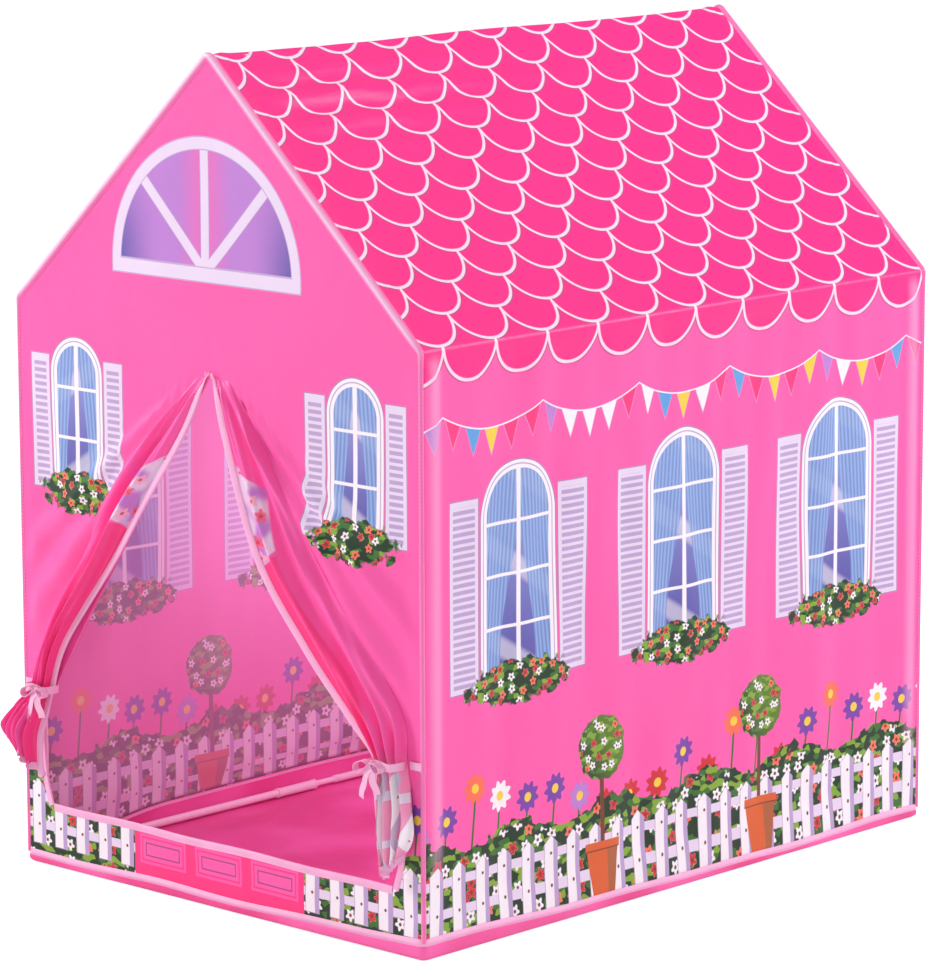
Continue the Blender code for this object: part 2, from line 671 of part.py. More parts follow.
def make_door():
    # Each flap hangs from the door's apex and swings in about a line square to the gable there.
    for side, shares in (("left", LEFT_FLAP_SHARES), ("right", RIGHT_FLAP_SHARES)):
        pivot = bpy.data.objects.new(f"{side}_flap_hinge", None)
        PARTS.objects.link(pivot)
        pivot.location = (0.0, FRONT_FACE, DOOR_TOP)
        make_flap(side, shares, pivot)
        make_tie(side, shares, pivot)


PARTS = start_scene()
MATERIALS = make_materials()
make_cover()
make_gable("front_gable", FRONT_FACE + FABRIC / 2, door=True)
make_gable("rear_gable", -FRONT_FACE - FABRIC / 2, door=False)
make_floor()
make_piping()
make_frame()
make_door()
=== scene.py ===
import json
import math

import bmesh
import bpy
import numpy as np
from mathutils import Matrix, Vector, noise


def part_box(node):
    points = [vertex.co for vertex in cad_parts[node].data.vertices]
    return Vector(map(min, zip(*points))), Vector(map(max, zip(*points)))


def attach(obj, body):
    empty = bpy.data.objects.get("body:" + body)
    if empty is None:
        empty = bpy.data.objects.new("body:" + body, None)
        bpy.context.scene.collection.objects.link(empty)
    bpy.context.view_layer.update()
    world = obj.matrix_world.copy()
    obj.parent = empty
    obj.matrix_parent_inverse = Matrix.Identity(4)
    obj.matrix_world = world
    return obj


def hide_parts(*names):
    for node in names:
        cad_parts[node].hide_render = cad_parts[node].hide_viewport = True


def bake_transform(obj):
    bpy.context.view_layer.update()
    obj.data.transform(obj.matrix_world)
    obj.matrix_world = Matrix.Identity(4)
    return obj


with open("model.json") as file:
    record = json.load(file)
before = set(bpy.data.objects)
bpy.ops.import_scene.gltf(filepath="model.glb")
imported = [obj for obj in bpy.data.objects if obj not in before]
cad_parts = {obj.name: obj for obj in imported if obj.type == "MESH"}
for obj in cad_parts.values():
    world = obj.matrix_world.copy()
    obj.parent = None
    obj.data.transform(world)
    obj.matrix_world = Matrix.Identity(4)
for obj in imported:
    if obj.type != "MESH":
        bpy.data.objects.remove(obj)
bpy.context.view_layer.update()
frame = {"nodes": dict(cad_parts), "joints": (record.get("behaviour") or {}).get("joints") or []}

nodes = frame["nodes"]
scene = bpy.context.scene
scene.view_settings.view_transform = "Standard"

# Camera, at the place and angle of the photograph

camera = {
    "place": (3.9992, -4.2803, 1.5221),
    "yaw": 43.213,      # degrees
    "pitch": -10.332,
    "roll": -0.214,
    "lens": 183.29,     # millimetres
}


def makeCamera():
    yaw, pitch, roll = (math.radians(camera[name]) for name in ("yaw", "pitch", "roll"))
    ahead = Vector((-math.sin(yaw) * math.cos(pitch), math.cos(yaw) * math.cos(pitch), math.sin(pitch)))
    right = Vector((math.cos(yaw), math.sin(yaw), 0.0))
    up = right.cross(ahead)
    rolledRight = math.cos(roll) * right + math.sin(roll) * up
    rolledUp = -math.sin(roll) * right + math.cos(roll) * up
    data = bpy.data.cameras.new("photoCamera")
    data.sensor_fit = "HORIZONTAL"
    data.sensor_width = 36.0
    data.lens = camera["lens"]
    item = bpy.data.objects.new("photoCamera", data)
    scene.collection.objects.link(item)
    turn = Matrix((rolledRight, rolledUp, -ahead)).transposed()
    item.matrix_world = Matrix.Translation(camera["place"]) @ turn.to_4x4()
    scene.camera = item


makeCamera()
print("camera placed")

# Measures of the tent, read from its frame


def middleOf(node):
    low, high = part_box(node)
    return (low + high) / 2


coverLow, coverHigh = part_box("roof_and_side_cover")
sillLow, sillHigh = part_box("sill_binding")
halfWidth = coverHigh.x
wallFoot = coverLow.z
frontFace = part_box("front_gable")[0].y
halfLength = -frontFace
poleX = middleOf("upright_right_front_lower").x
poleY = middleOf("upright_right_rear_lower").y
eavePoleZ = middleOf("eave_pole_right_front").z
ridgePoleZ = middleOf("ridge_pole_front").z
seamHeight = middleOf("foot_piping").z
foldRadius = halfWidth - poleX
bindingRadius = (sillHigh.z - sillLow.z) / 2
sillHeight = sillLow.z
doorHalfWidth = sillHigh.x + bindingRadius
doorTop = frame["joints"][0]["pos_m"][2]
doorHeight = doorTop - sillHeight
roofSlope = Vector((-poleX, ridgePoleZ - eavePoleZ)).normalized()
roofAngle = math.atan2(-roofSlope.x, roofSlope.y)

# Pattern helpers: numbers in a node tree that can be added and compared like plain ones


def feed(tree, socket, item):
    if isinstance(item, Value):
        tree.links.new(item.socket, socket)
    else:
        socket.default_value = item


class Value:
    def __init__(self, tree, socket):
        self.tree = tree
        self.socket = socket

    def math(self, operation, *others, clamp=False):
        node = self.tree.nodes.new("ShaderNodeMath")
        node.operation = operation
        node.use_clamp = clamp
        for socket, item in zip(node.inputs, (self, *others)):
            feed(self.tree, socket, item)
        return Value(self.tree, node.outputs[0])

    def __add__(self, other):
        return self.math("ADD", other)

    def __sub__(self, other):
        return self.math("SUBTRACT", other)

    def __mul__(self, other):
        return self.math("MULTIPLY", other)

    def __truediv__(self, other):
        return self.math("DIVIDE", other)

    def __rsub__(self, other):
        return self.math("MULTIPLY_ADD", -1.0, other)

    def __neg__(self):
        return self.math("MULTIPLY", -1.0)

    def __abs__(self):
        return self.math("ABSOLUTE")


def smallest(first, *others):
    for other in others:
        first = first.math("MINIMUM", other)
    return first


def largest(first, *others):
    for other in others:
        first = first.math("MAXIMUM", other)
    return first


def wrap(value, pitch):         # the distance from the nearest of a row of places a pitch apart
    return value.math("WRAP", pitch / 2, -pitch / 2)


def sine(value, span, phase=0.0):
    return value.math("MULTIPLY_ADD", 2 * math.pi / span, phase).math("SINE")


def fade(value, low, high):     # 0 at low, 1 at high, with soft ends
    node = value.tree.nodes.new("ShaderNodeMapRange")
    node.interpolation_type = "SMOOTHSTEP"
    for socket, item in zip(node.inputs, (value, low, high)):
        feed(value.tree, socket, item)
    return Value(value.tree, node.outputs[0])


def length(x, z):
    return (x * x + z * z).math("SQRT")


def inside(distance, soft=0.0007):      # the mask of a shape whose edge is at distance zero
    return distance.math("MULTIPLY_ADD", -1 / soft, 0.5, clamp=True)


def line(distance, width):
    return inside(abs(distance) - width / 2)


def box(x, z, halfX, low, high):
    return largest(abs(x) - halfX, z - high, low - z)


def disc(x, z, radius):
    return length(x, z) - radius


def oval(x, z, halfX, halfZ):
    return (length(x / halfX, z / halfZ) - 1.0) * min(halfX, halfZ)


def arch(x, z, halfX, top):     # upright sides from z = 0 with a half-round head
    spring = top - halfX
    body = largest(abs(x) - halfX, z - spring)
    return largest(smallest(body, disc(x, z - spring, halfX)), -z)


def combine(x, y):
    node = x.tree.nodes.new("ShaderNodeCombineXYZ")
    feed(x.tree, node.inputs[0], x)
    feed(x.tree, node.inputs[1], y)
    return Value(x.tree, node.outputs[0])


def parts(vector):
    node = vector.tree.nodes.new("ShaderNodeSeparateXYZ")
    feed(vector.tree, node.inputs[0], vector)
    return [Value(vector.tree, socket) for socket in node.outputs]


def noiseValue(vector, scale, detail=2.0):
    node = vector.tree.nodes.new("ShaderNodeTexNoise")
    feed(vector.tree, node.inputs["Vector"], vector)
    node.inputs["Scale"].default_value = scale
    node.inputs["Detail"].default_value = detail
    return Value(vector.tree, node.outputs[0])


def randomOf(value):            # one random number from 0 to 1 for each whole number
    node = value.tree.nodes.new("ShaderNodeTexWhiteNoise")
    node.noise_dimensions = "1D"
    feed(value.tree, node.inputs["W"], value)
    return Value(value.tree, node.outputs[0])


def mix(factor, under, over, blend="MIX"):
    tree = next(item.tree for item in (factor, under, over) if isinstance(item, Value))
    node = tree.nodes.new("ShaderNodeMix")
    node.data_type = "RGBA"
    node.blend_type = blend
    feed(tree, node.inputs[0], factor)
    feed(tree, node.inputs[6], under)
    feed(tree, node.inputs[7], over)
    return Value(tree, node.outputs[2])


def choose(value, colours):     # one of the colours, in equal shares of 0 to 1
    node = value.tree.nodes.new("ShaderNodeValToRGB")
    node.color_ramp.interpolation = "CONSTANT"
    ramp = node.color_ramp.elements
    for index, shade in enumerate(colours):
        stop = ramp[index] if index < 2 else ramp.new(index / len(colours))
        stop.position = index / len(colours)
        stop.color = shade
    feed(value.tree, node.inputs[0], value)
    return Value(value.tree, node.outputs[0])


def ink(red, green, blue):      # a screen colour, 0 to 255, as the linear one that a shader takes
    made = []
    for part in (red, green, blue):
        share = part / 255
        made.append(share / 12.92 if share < 0.0405 else ((share + 0.055) / 1.055) ** 2.4)
    return (*made, 1.0)


class Picture:
    # Layers of colour laid over each other, and the mask of all that they cover.
    def __init__(self, ground):
        self.colour = ground
        self.cover = None

    def lay(self, mask, colour):
        self.colour = mix(mask, self.colour, colour)
        self.cover = mask if self.cover is None else largest(self.cover, mask)

    def fill(self, distance, name, soft=0.0007):
        self.lay(inside(distance, soft), inks[name])


def newGroup(name, inputs, outputs):
    tree = bpy.data.node_groups.new(name, "ShaderNodeTree")
    for label, kind, default in inputs:
        socket = tree.interface.new_socket(name=label, in_out="INPUT", socket_type="NodeSocket" + kind)
        if default is not None:
            socket.default_value = default
    for label, kind in outputs:
        tree.interface.new_socket(name=label, in_out="OUTPUT", socket_type="NodeSocket" + kind)
    source = tree.nodes.new("NodeGroupInput")
    target = tree.nodes.new("NodeGroupOutput")
    return tree, [Value(tree, source.outputs[label]) for label, *_ in inputs], target


def useGroup(group, tree, **items):
    node = tree.nodes.new("ShaderNodeGroup")
    node.node_tree = group
    for label, item in items.items():
        feed(tree, node.inputs[label], item)
    return [Value(tree, socket) for socket in node.outputs]


def motif(name, values, draw):
    # A group that puts out one motif's colour and mask at a place of the print.
    tree, given, target = newGroup(
        name, [("x", "Float", 0.0), ("z", "Float", 0.0), *((label, "Float", size) for label, size in values)],
        [("colour", "Color"), ("mask", "Float")],
    )
    picture = draw(*given)
    feed(tree, target.inputs[0], picture.colour)
    feed(tree, target.inputs[1], picture.cover)
    return tree


inks = {
    "wall": ink(255, 91, 173), "roof": ink(255, 34, 138), "roofLine": ink(255, 222, 240),
    "roofShade": ink(176, 70, 126), "frame": ink(234, 214, 240), "frameShade": ink(190, 162, 208),
    "outline": ink(150, 110, 165), "paneLow": ink(92, 84, 168), "paneHigh": ink(150, 152, 222),
    "curtain": ink(150, 186, 236), "white": ink(250, 240, 248), "leafDark": ink(22, 52, 26),
    "leaf": ink(58, 110, 40), "leafLight": ink(132, 168, 50), "red": ink(214, 40, 52),
    "coral": ink(255, 112, 84), "purple": ink(122, 62, 168), "yellow": ink(252, 206, 66),
    "brown": ink(120, 58, 34), "brownLight": ink(176, 96, 56), "clay": ink(222, 96, 44),
    # The pale pink laid over the poles is a painted highlight.
    "poleHighlight": ink(255, 184, 226), "rose": ink(255, 52, 132), "violet": ink(190, 126, 210),
    "sky": ink(96, 160, 226), "inside": ink(214, 160, 200),
}


def picked(*names):
    return [inks[name] for name in names]


def printGroup(name, labels, draw, *facts):
    # A group that puts out the colour of a whole print.
    tree, given, target = newGroup(name, [(label, "Float", 0.0) for label in labels], [("colour", "Color")])
    feed(tree, target.inputs[0], draw(*given, *facts).colour)
    return tree


def drawBlossoms(x, z, cell):
    # Five-petalled flowers scattered over the plane, one in each cell.
    tree = x.tree
    place = tree.nodes.new("ShaderNodeTexVoronoi")
    place.voronoi_dimensions = "2D"
    place.inputs["Scale"].default_value = 1.0
    place.inputs["Randomness"].default_value = 0.75
    feed(tree, place.inputs["Vector"], combine(x / cell, z / cell))
    spotX, spotZ, _ = parts(Value(tree, place.outputs["Position"]))
    dx = x / cell - spotX
    dz = z / cell - spotZ
    chance, turn, _ = parts(Value(tree, place.outputs["Color"]))
    petals = dz.math("ARCTAN2", dx).math("MULTIPLY_ADD", 5.0, turn * 6.3).math("SINE")
    reach = petals * 0.07 + 0.27
    away = length(dx, dz)
    picture = Picture(inks["white"])
    petal = choose(chance, picked("white", "red", "white", "coral", "white", "red"))
    picture.lay(inside(away - reach, 0.05), petal)
    picture.fill(away - 0.09, "brown", 0.04)
    return picture


def drawLeaves(x, z, size):
    # Foliage in three greens that fills the plane.
    tree = x.tree
    leaves = tree.nodes.new("ShaderNodeTexVoronoi")
    leaves.voronoi_dimensions = "2D"
    leaves.inputs["Scale"].default_value = 1.0
    feed(tree, leaves.inputs["Vector"], combine(x / size, z / (size * 0.6)))
    chance = parts(Value(tree, leaves.outputs["Color"]))[0]
    return Picture(choose(chance, picked("leafDark", "leaf", "leafDark", "leafLight", "leafDark")))


def drawPickets(x, z, pitch, high):
    # A white fence: two rails behind pointed pales, with a nail at each crossing.
    across = wrap(x, pitch)
    picture = Picture(inks["white"])
    for share in (0.30, 0.74):
        rail = abs(z - high * share) - 0.0055
        picture.fill(largest(rail, -z), "frame")
    pale = largest(abs(across) - pitch * 0.27, -z, z + abs(across) * 0.9 - high)
    picture.fill(pale - 0.0007, "outline")
    picture.fill(pale, "white")
    picture.fill(largest(pale, pitch * 0.1 - across), "frameShade")
    for share in (0.30, 0.74):
        picture.fill(disc(across, z - high * share, 0.0019), "brown")
    return picture


def drawWindow(x, z, halfX, high):
    # An arched casement with a curtain each side, glazing bars and a pair of louvred shutters.
    glass = arch(x, z - 0.008, halfX - 0.011, high - 0.018)
    side = abs(abs(x) - halfX * 1.43) - halfX * 0.36
    top = z - (high - halfX * 0.55)
    shutter = largest(side, top, -z)
    louvres = largest(side + 0.0055, abs(wrap(z, 0.0085)) - 0.0024, top + 0.007, 0.006 - z)
    picture = Picture(inks["frame"])
    picture.fill(shutter - 0.001, "outline")
    picture.fill(shutter, "frame")
    picture.fill(louvres, "frameShade")
    outer = arch(x, z, halfX, high)
    picture.fill(outer - 0.0012, "outline")
    picture.fill(outer, "white")
    picture.fill(largest(outer + 0.004, -(outer + 0.0055)), "frameShade")
    pane = mix(fade(z, 0.0, high), inks["paneLow"], inks["paneHigh"])
    gleam = fade(sine(x * 0.6 + z, 0.11), 0.55, 0.95)
    picture.lay(inside(glass), mix(gleam * 0.45, pane, inks["white"]))
    drape = largest(glass, halfX * 0.20 + sine(z, 0.42, 1.2) * halfX * 0.24 - abs(x))
    folds = sine(abs(x) + z * 0.08, 0.0062) * 0.3 + 0.3
    picture.lay(inside(drape) * 0.85, mix(folds, inks["curtain"], inks["paneLow"]))
    bars = smallest(abs(x) - 0.0034, abs(wrap(z - high * 0.02, 0.062)) - 0.0020)
    picture.fill(largest(glass, bars), "white")
    return picture


def drawFlowerBox(x, z, halfX):
    # A trough of trailing plants that hides the window's foot.
    picture = Picture(inks["leafDark"])
    edge = noiseValue(combine(x, z), 60.0) * 0.022
    bed = largest(oval(x / halfX, z * 25.0, 1.0, 0.62) * 0.03 + edge - 0.011, abs(x) - halfX * 1.08)
    picture.fill(box(x, z + 0.004, halfX * 0.70, -0.010, 0.004), "rose")
    picture.lay(inside(bed, 0.0012), useGroup(leafGroup, x.tree, x=x, z=z, size=0.008)[0])
    colour, mask = useGroup(blossomGroup, x.tree, x=x, z=z, cell=0.0165)
    picture.lay(mask * inside(bed + 0.001, 0.002), colour)
    return picture


def drawFanlight(x, z, halfX):
    # A half-round window whose bars spread from the middle of its sill.
    ring = largest(disc(x, z, halfX), -z - 0.011)
    glass = largest(disc(x, z, halfX - 0.015), 0.0064 - z)
    away = length(x, z)
    angle = z.math("ARCTAN2", x)
    bars = abs(wrap(angle, math.radians(45))) * away - 0.0064
    picture = Picture(inks["frame"])
    picture.fill(ring - 0.0014, "frameShade", 0.001)
    picture.fill(ring, "frame")
    picture.fill(glass - 0.0012, "frameShade")
    low = mix(fade(abs(x), halfX * 0.45, halfX), inks["violet"], inks["paneLow"])
    tint = mix(fade(z, 0.0, halfX), low, inks["violet"])
    gleam = fade(abs(x), 0.050, 0.004)
    picture.lay(inside(glass), mix(gleam * 0.5, tint, inks["wall"]))
    solid = largest(glass, bars)
    picture.fill(solid - 0.001, "frameShade")
    picture.fill(solid, "frame")
    return picture


def drawTopiary(x, z):
    # A clipped round tree in a clay pot.
    picture = Picture(inks["leaf"])
    picture.fill(box(x, z, 0.0034, 0.03, 0.14), "brown")
    ball = disc(x, z - 0.172, 0.040) + noiseValue(combine(x, z), 70.0) * 0.014 - 0.007
    leaves = useGroup(leafGroup, x.tree, x=x, z=z, size=0.009)[0]
    picture.lay(inside(ball, 0.0012), mix(fade(x + z * 0.5, 0.03, 0.12) * 0.5, leaves, inks["leafLight"]))
    colour, mask = useGroup(blossomGroup, x.tree, x=x, z=z, cell=0.016)
    picture.lay(mask * inside(ball + 0.004, 0.002), colour)
    pot = largest(abs(x) - 0.019 - z * 0.18, -z, z - 0.050)
    picture.fill(pot, "clay")
    picture.fill(largest(pot, -x + 0.008), "brownLight")
    picture.fill(box(x, z, 0.030, 0.048, 0.058), "clay")
    picture.fill(box(x, z, 0.030, 0.047, 0.0485), "brown")
    return picture


def drawDaisies(x, z, pitch):
    # A row of daisies on tall stems, each of its own height.
    number = (x / pitch + 0.5).math("FLOOR")
    chance = randomOf(number)
    across = x - number * pitch
    high = chance * 0.07 + 0.10
    stem = across + sine(z, 0.23) * 0.004
    picture = Picture(inks["leaf"])
    picture.fill(largest(abs(stem) - 0.0016, -z, z - high), "leaf")
    leafX = abs(stem) - 0.009 - z * 0.05
    leaf = oval(leafX + (z - high * 0.35) * 0.35, z - high * 0.35, 0.0055, 0.030)
    picture.fill(leaf, "leafLight")
    picture.fill(largest(leaf, leafX), "leaf")
    dz = z - high
    away = length(stem, dz)
    petals = dz.math("ARCTAN2", stem).math("MULTIPLY_ADD", 9.0, chance * 6.0).math("SINE")
    petal = choose(chance, picked("red", "violet", "purple", "white", "coral"))
    picture.lay(inside(away - 0.0165 - petals * 0.0026), petal)
    picture.fill(away - 0.0058, "yellow")
    return picture


def drawBunting(x, z, pitch):
    # Small flags on a string that hangs in swags five flags long.
    swag = wrap(x, pitch * 5) / (pitch * 2.5)
    drop = z + (1.0 - swag * swag) * 0.022
    number = (x / pitch + 0.5).math("FLOOR")
    across = x - number * pitch
    colour = choose(randomOf(number + 3.0), picked("white", "violet", "rose", "yellow", "sky"))
    flag = largest(abs(across) - 0.0125 - drop * 0.40, drop)
    picture = Picture(inks["white"])
    picture.fill(flag - 0.0007, "frameShade")
    picture.lay(inside(flag), colour)
    picture.lay(line(drop, 0.0018), inks["white"])
    return picture


blossomGroup = motif("blossoms", [("cell", 0.02)], drawBlossoms)
leafGroup = printGroup("leaves", ("x", "z", "size"), drawLeaves)
picketGroup = motif("picketFence", [("pitch", 0.04), ("high", 0.1)], drawPickets)
windowGroup = motif("archedWindow", [("halfX", 0.05), ("high", 0.22)], drawWindow)
boxGroup = motif("flowerBox", [("halfX", 0.06)], drawFlowerBox)
fanGroup = motif("fanlight", [("halfX", 0.15)], drawFanlight)
topiaryGroup = motif("topiary", [], drawTopiary)
daisyGroup = motif("daisies", [("pitch", 0.05)], drawDaisies)

# Printed cloth: what is on the roof and sides, the two gables and the door flaps

roofPrint = {
    "tile": 0.088,          # metres across one scale of the roof
    "pitch": 0.0445,        # from one row of scales to the next
    "firstTile": -0.3795,   # middle of a scale in the row that hangs over the eave
    "cuspHeight": 0.004,    # where that row's scales meet, above the eave's fold
    "lineWidth": 0.0040,
    "shadeWidth": 0.0016,
}
sidePrint = {
    "eave": 0.711,          # height of the eave's fold above the ground
    "windowPitch": 0.295,
    "windowFoot": 0.305,
    "windowHalf": 0.066,
    "windowHigh": 0.262,
    "flags": 0.632,
    "flagPitch": 0.034,
    "gardenFoot": 0.026,
    "poleHighlight": 0.016,      # half the width of the painted highlight stripe where the cloth bulges over a pole
}
gablePrint = {
    "fanX": -0.009,
    "fanFoot": 0.770,
    "fanHalf": 0.159,
    "windowX": 0.236,
    "windowFoot": 0.480,
    "windowHalf": 0.045,
    "windowHigh": 0.190,
    "panelHalf": 0.146,     # half the width of the panelled band below the door
    "panelPitch": 0.0965,
    "panel": (0.040, 0.008, 0.045),         # half its width, its foot and its top
    "rearFoot": 0.330,
    "rearWindow": (0.075, 0.330, 0.110),    # the rear window's half width, height and box's half width
    "rearTree": 0.190,
}
flapPrint = {               # distances from the door's edge and down from its apex
    "band": 0.050,
    "patch": (0.100, 0.235),
    "fence": 0.478,
    "fenceFoot": 0.640,
}
gardenTop = 0.4             # above every plant


def drawScales(y, height):
    # Rows of round scales, each row half a scale on from the next; the lowest hangs over the eave.
    tile = roofPrint["tile"] / 2
    above = height - roofPrint["cuspHeight"]
    up = above / roofPrint["pitch"]
    row = up.math("CEIL")
    fall = row - up
    shifted = y - roofPrint["firstTile"] - row * tile
    own = (length(wrap(shifted, 2 * tile) / tile, fall) - 1.0) * tile
    own = own + up.math("LESS_THAN", -1.0)
    upper = (length(wrap(shifted - tile, 2 * tile) / tile, fall + 1.0) - 1.0) * tile
    half, shade = roofPrint["lineWidth"] / 2, roofPrint["shadeWidth"] / 2
    shadow = smallest(abs(own - half - shade), abs(upper - half - shade)) - shade
    stroke = smallest(abs(own), abs(upper)) - half
    onRoof = fade(up, -1.12, -1.0)
    picture = Picture(inks["roof"])
    picture.fill(smallest(own, -above), "roof")
    picture.lay(inside(shadow, 0.0012) * onRoof, inks["roofShade"])
    picture.lay(inside(stroke, 0.0012) * onRoof, inks["roofLine"])
    return picture


def layMotif(picture, group, region=1.0, **items):
    colour, mask = useGroup(group, items["x"].tree, **items)
    picture.lay(mask * region, colour)


def layWindow(picture, x, z, halfX, high, boxHalf, region=1.0):
    layMotif(picture, windowGroup, region, x=x, z=z, halfX=halfX, high=high)
    layMotif(picture, boxGroup, region, x=x, z=z, halfX=boxHalf)


def layGarden(picture, x, z, region):
    # Daisies, a hedge in flower and the picket fence before it, from z = 0 up.
    layMotif(picture, daisyGroup, region, x=x, z=z, pitch=0.047)
    edge = z - 0.088 - sine(x, 0.17) * 0.010 - noiseValue(combine(x, z), 55.0) * 0.030
    hedge = inside(edge, 0.0015) * region
    picture.lay(hedge, useGroup(leafGroup, x.tree, x=x, z=z, size=0.011)[0])
    blossoms, mask = useGroup(blossomGroup, x.tree, x=x, z=z, cell=0.024)
    picture.lay(mask * hedge * inside(edge + 0.007, 0.002), blossoms)
    layMotif(picture, picketGroup, region, x=x, z=z, pitch=0.040, high=0.082)


def drawSide(y, height):
    z = height + sidePrint["eave"]
    pitch, halfX = sidePrint["windowPitch"], sidePrint["windowHalf"]
    picture = Picture(inks["wall"])
    layWindow(picture, wrap(y, pitch), z - sidePrint["windowFoot"], halfX, sidePrint["windowHigh"],
              halfX * 1.35, inside(abs(y) - pitch * 1.42))
    flags = drawBunting(y, z - sidePrint["flags"], sidePrint["flagPitch"])
    picture.lay(flags.cover, flags.colour)
    ground = z - sidePrint["gardenFoot"]
    layGarden(picture, y, ground, inside(z - gardenTop))
    layMotif(picture, topiaryGroup, inside(abs(y) - pitch), x=wrap(y - pitch / 2, pitch), z=ground)
    scales = drawScales(y, height)
    picture.lay(scales.cover, scales.colour)
    # A painted highlight: a paler stripe down each wall where the cloth bulges over an upright, faded out
    # over the garden.
    rubAndHighlight = fade(abs(abs(y) - poleY), sidePrint["poleHighlight"], 0.0)
    picture.lay(rubAndHighlight * fade(height, 0.0, -0.02) * fade(z, 0.06, 0.16) * 0.44, inks["poleHighlight"])
    return picture


def drawGable(x, z, isFront):
    picture = Picture(inks["wall"])
    layMotif(picture, fanGroup, x=x - gablePrint["fanX"], z=z - gablePrint["fanFoot"],
             halfX=gablePrint["fanHalf"])
    halfX, panelHalf = gablePrint["windowHalf"], gablePrint["panelHalf"]
    layWindow(picture, abs(x) - gablePrint["windowX"], z - gablePrint["windowFoot"], halfX,
              gablePrint["windowHigh"], halfX * 1.5)
    ground = z - sidePrint["gardenFoot"]
    if isFront:
        layGarden(picture, x, ground, inside(z - gardenTop) * inside(panelHalf - abs(x)))
        band = inside(abs(x) - panelHalf) * inside(z - doorTop / 2)
        panel = box(wrap(x, gablePrint["panelPitch"]), ground, *gablePrint["panel"])
        picture.lay(band, inks["rose"])
        picture.lay(band * inside(panel), inks["wall"])
        picture.lay(band * line(panel + 0.0045, 0.0022), inks["rose"])
        picture.lay(band * line(panel + 0.011, 0.0018), inks["roofShade"])
    else:
        layGarden(picture, x, ground, inside(z - gardenTop))
        layWindow(picture, x, z - gablePrint["rearFoot"], *gablePrint["rearWindow"])
        layMotif(picture, topiaryGroup, x=abs(x) - gablePrint["rearTree"], z=ground)
    return picture


def drawFlap(across, along, isFenced):
    # A rose band beside the door's edge, a patch of cloud and blossoms on it and, if asked, a fence.
    picture = Picture(inks["wall"])
    band = across - flapPrint["band"] - sine(along, 0.31) * 0.006
    patchTop, patchFoot = flapPrint["patch"]
    picture.lay(inside(largest(band, 0.22 - along), 0.004) * 0.85, inks["rose"])
    patch = largest(band, patchTop - along + across * 0.8, along - patchFoot + across * 0.5)
    cloud = fade(noiseValue(combine(across, along), 30.0, 0.5), 0.42, 0.60)
    picture.lay(inside(patch, 0.003) * 0.85, mix(cloud, inks["frame"], inks["violet"]))
    colour, mask = useGroup(blossomGroup, across.tree, x=across, z=along, cell=0.027)
    picture.lay(mask * inside(patch + 0.004, 0.003) * 0.9, mix(0.55, colour, inks["rose"]))
    if isFenced:
        layMotif(picture, picketGroup, inside(flapPrint["fence"] - along), x=across + 0.012,
                 z=flapPrint["fenceFoot"] - along, pitch=0.060, high=0.14)
        picture.lay(fade(along, 0.485, 0.52) * 0.30, inks["white"])
    return picture


prints = {
    "side": printGroup("sideCloth", ("along", "height"), drawSide),
    "front": printGroup("frontCloth", ("across", "height"), drawGable, True),
    "rear": printGroup("rearCloth", ("across", "height"), drawGable, False),
    "rightFlap": printGroup("rightFlapCloth", ("across", "along"), drawFlap, True),
    "leftFlap": printGroup("leftFlapCloth", ("across", "along"), drawFlap, False),
}

# Finish that every woven piece shares: threads, soft creases, a slight change of tone and a faint painted
# shade along the threads


def makeWeaveGroup():
    tree, (vector, count, crease), target = newGroup(
        "wovenFinish", [("vector", "Vector", None), ("threads", "Float", 2000.0), ("crease", "Float", 1.0)],
        [("height", "Float"), ("tone", "Color"), ("roughness", "Float")],
    )
    x, y, z = parts(vector)
    turns = count * (2 * math.pi)
    threads = ((x + y) * turns).math("SINE") * ((z + x * 0.4) * turns).math("SINE")
    soft = noiseValue(vector, 26.0, 3.0)
    fine = noiseValue(vector, 130.0, 2.0)
    feed(tree, target.inputs["height"], threads * 0.015 + soft * crease + fine * crease * 0.16)
    cloud = noiseValue(vector, 7.0, 2.0)
    # The tone is a slight random cloud and a faint painted shade that follows the threads' relief.
    level = cloud * 0.10 + threads * 0.015 + 0.95
    tone = tree.nodes.new("ShaderNodeCombineColor")
    for socket in tone.inputs:
        feed(tree, socket, level)
    feed(tree, target.inputs["tone"], Value(tree, tone.outputs[0]))
    feed(tree, target.inputs["roughness"], fine * 0.10 + soft * 0.10 - 0.10)
    return tree


weaveGroup = makeWeaveGroup()


def coordinates(tree):
    return Value(tree, tree.nodes.new("ShaderNodeTexCoord").outputs["Object"])


def attribute(tree, name):
    node = tree.nodes.new("ShaderNodeAttribute")
    node.attribute_name = name
    return Value(tree, node.outputs["Vector"])


def newMaterial(name):
    material = bpy.data.materials.new(name)
    material.use_nodes = True
    tree = material.node_tree
    return material, tree, tree.nodes["Principled BSDF"]


def addBump(tree, shader, height, strength, distance):
    bump = tree.nodes.new("ShaderNodeBump")
    bump.inputs["Strength"].default_value = strength
    bump.inputs["Distance"].default_value = distance
    feed(tree, bump.inputs["Height"], height)
    tree.links.new(bump.outputs[0], shader.inputs["Normal"])


def clothMaterial(name, paint, roughness=0.40, sheen=0.03, threads=2000.0, crease=1.0, place=None):
    # A woven cloth; paint gives its colour, place the coordinates of its threads, and threads their number
    # in a metre.
    material, tree, shader = newMaterial(name)
    vector = attribute(tree, place) if place else coordinates(tree)
    height, tone, rough = useGroup(weaveGroup, tree, vector=vector, threads=threads, crease=crease)
    colour = paint(tree)
    feed(tree, shader.inputs["Base Color"], mix(1.0, colour, tone, "MULTIPLY"))
    feed(tree, shader.inputs["Roughness"], rough + roughness)
    shader.inputs["Sheen Weight"].default_value = sheen
    shader.inputs["Sheen Roughness"].default_value = 0.4
    shader.inputs["Specular IOR Level"].default_value = 0.45
    addBump(tree, shader, height, 1.0, 0.0011)
    return material


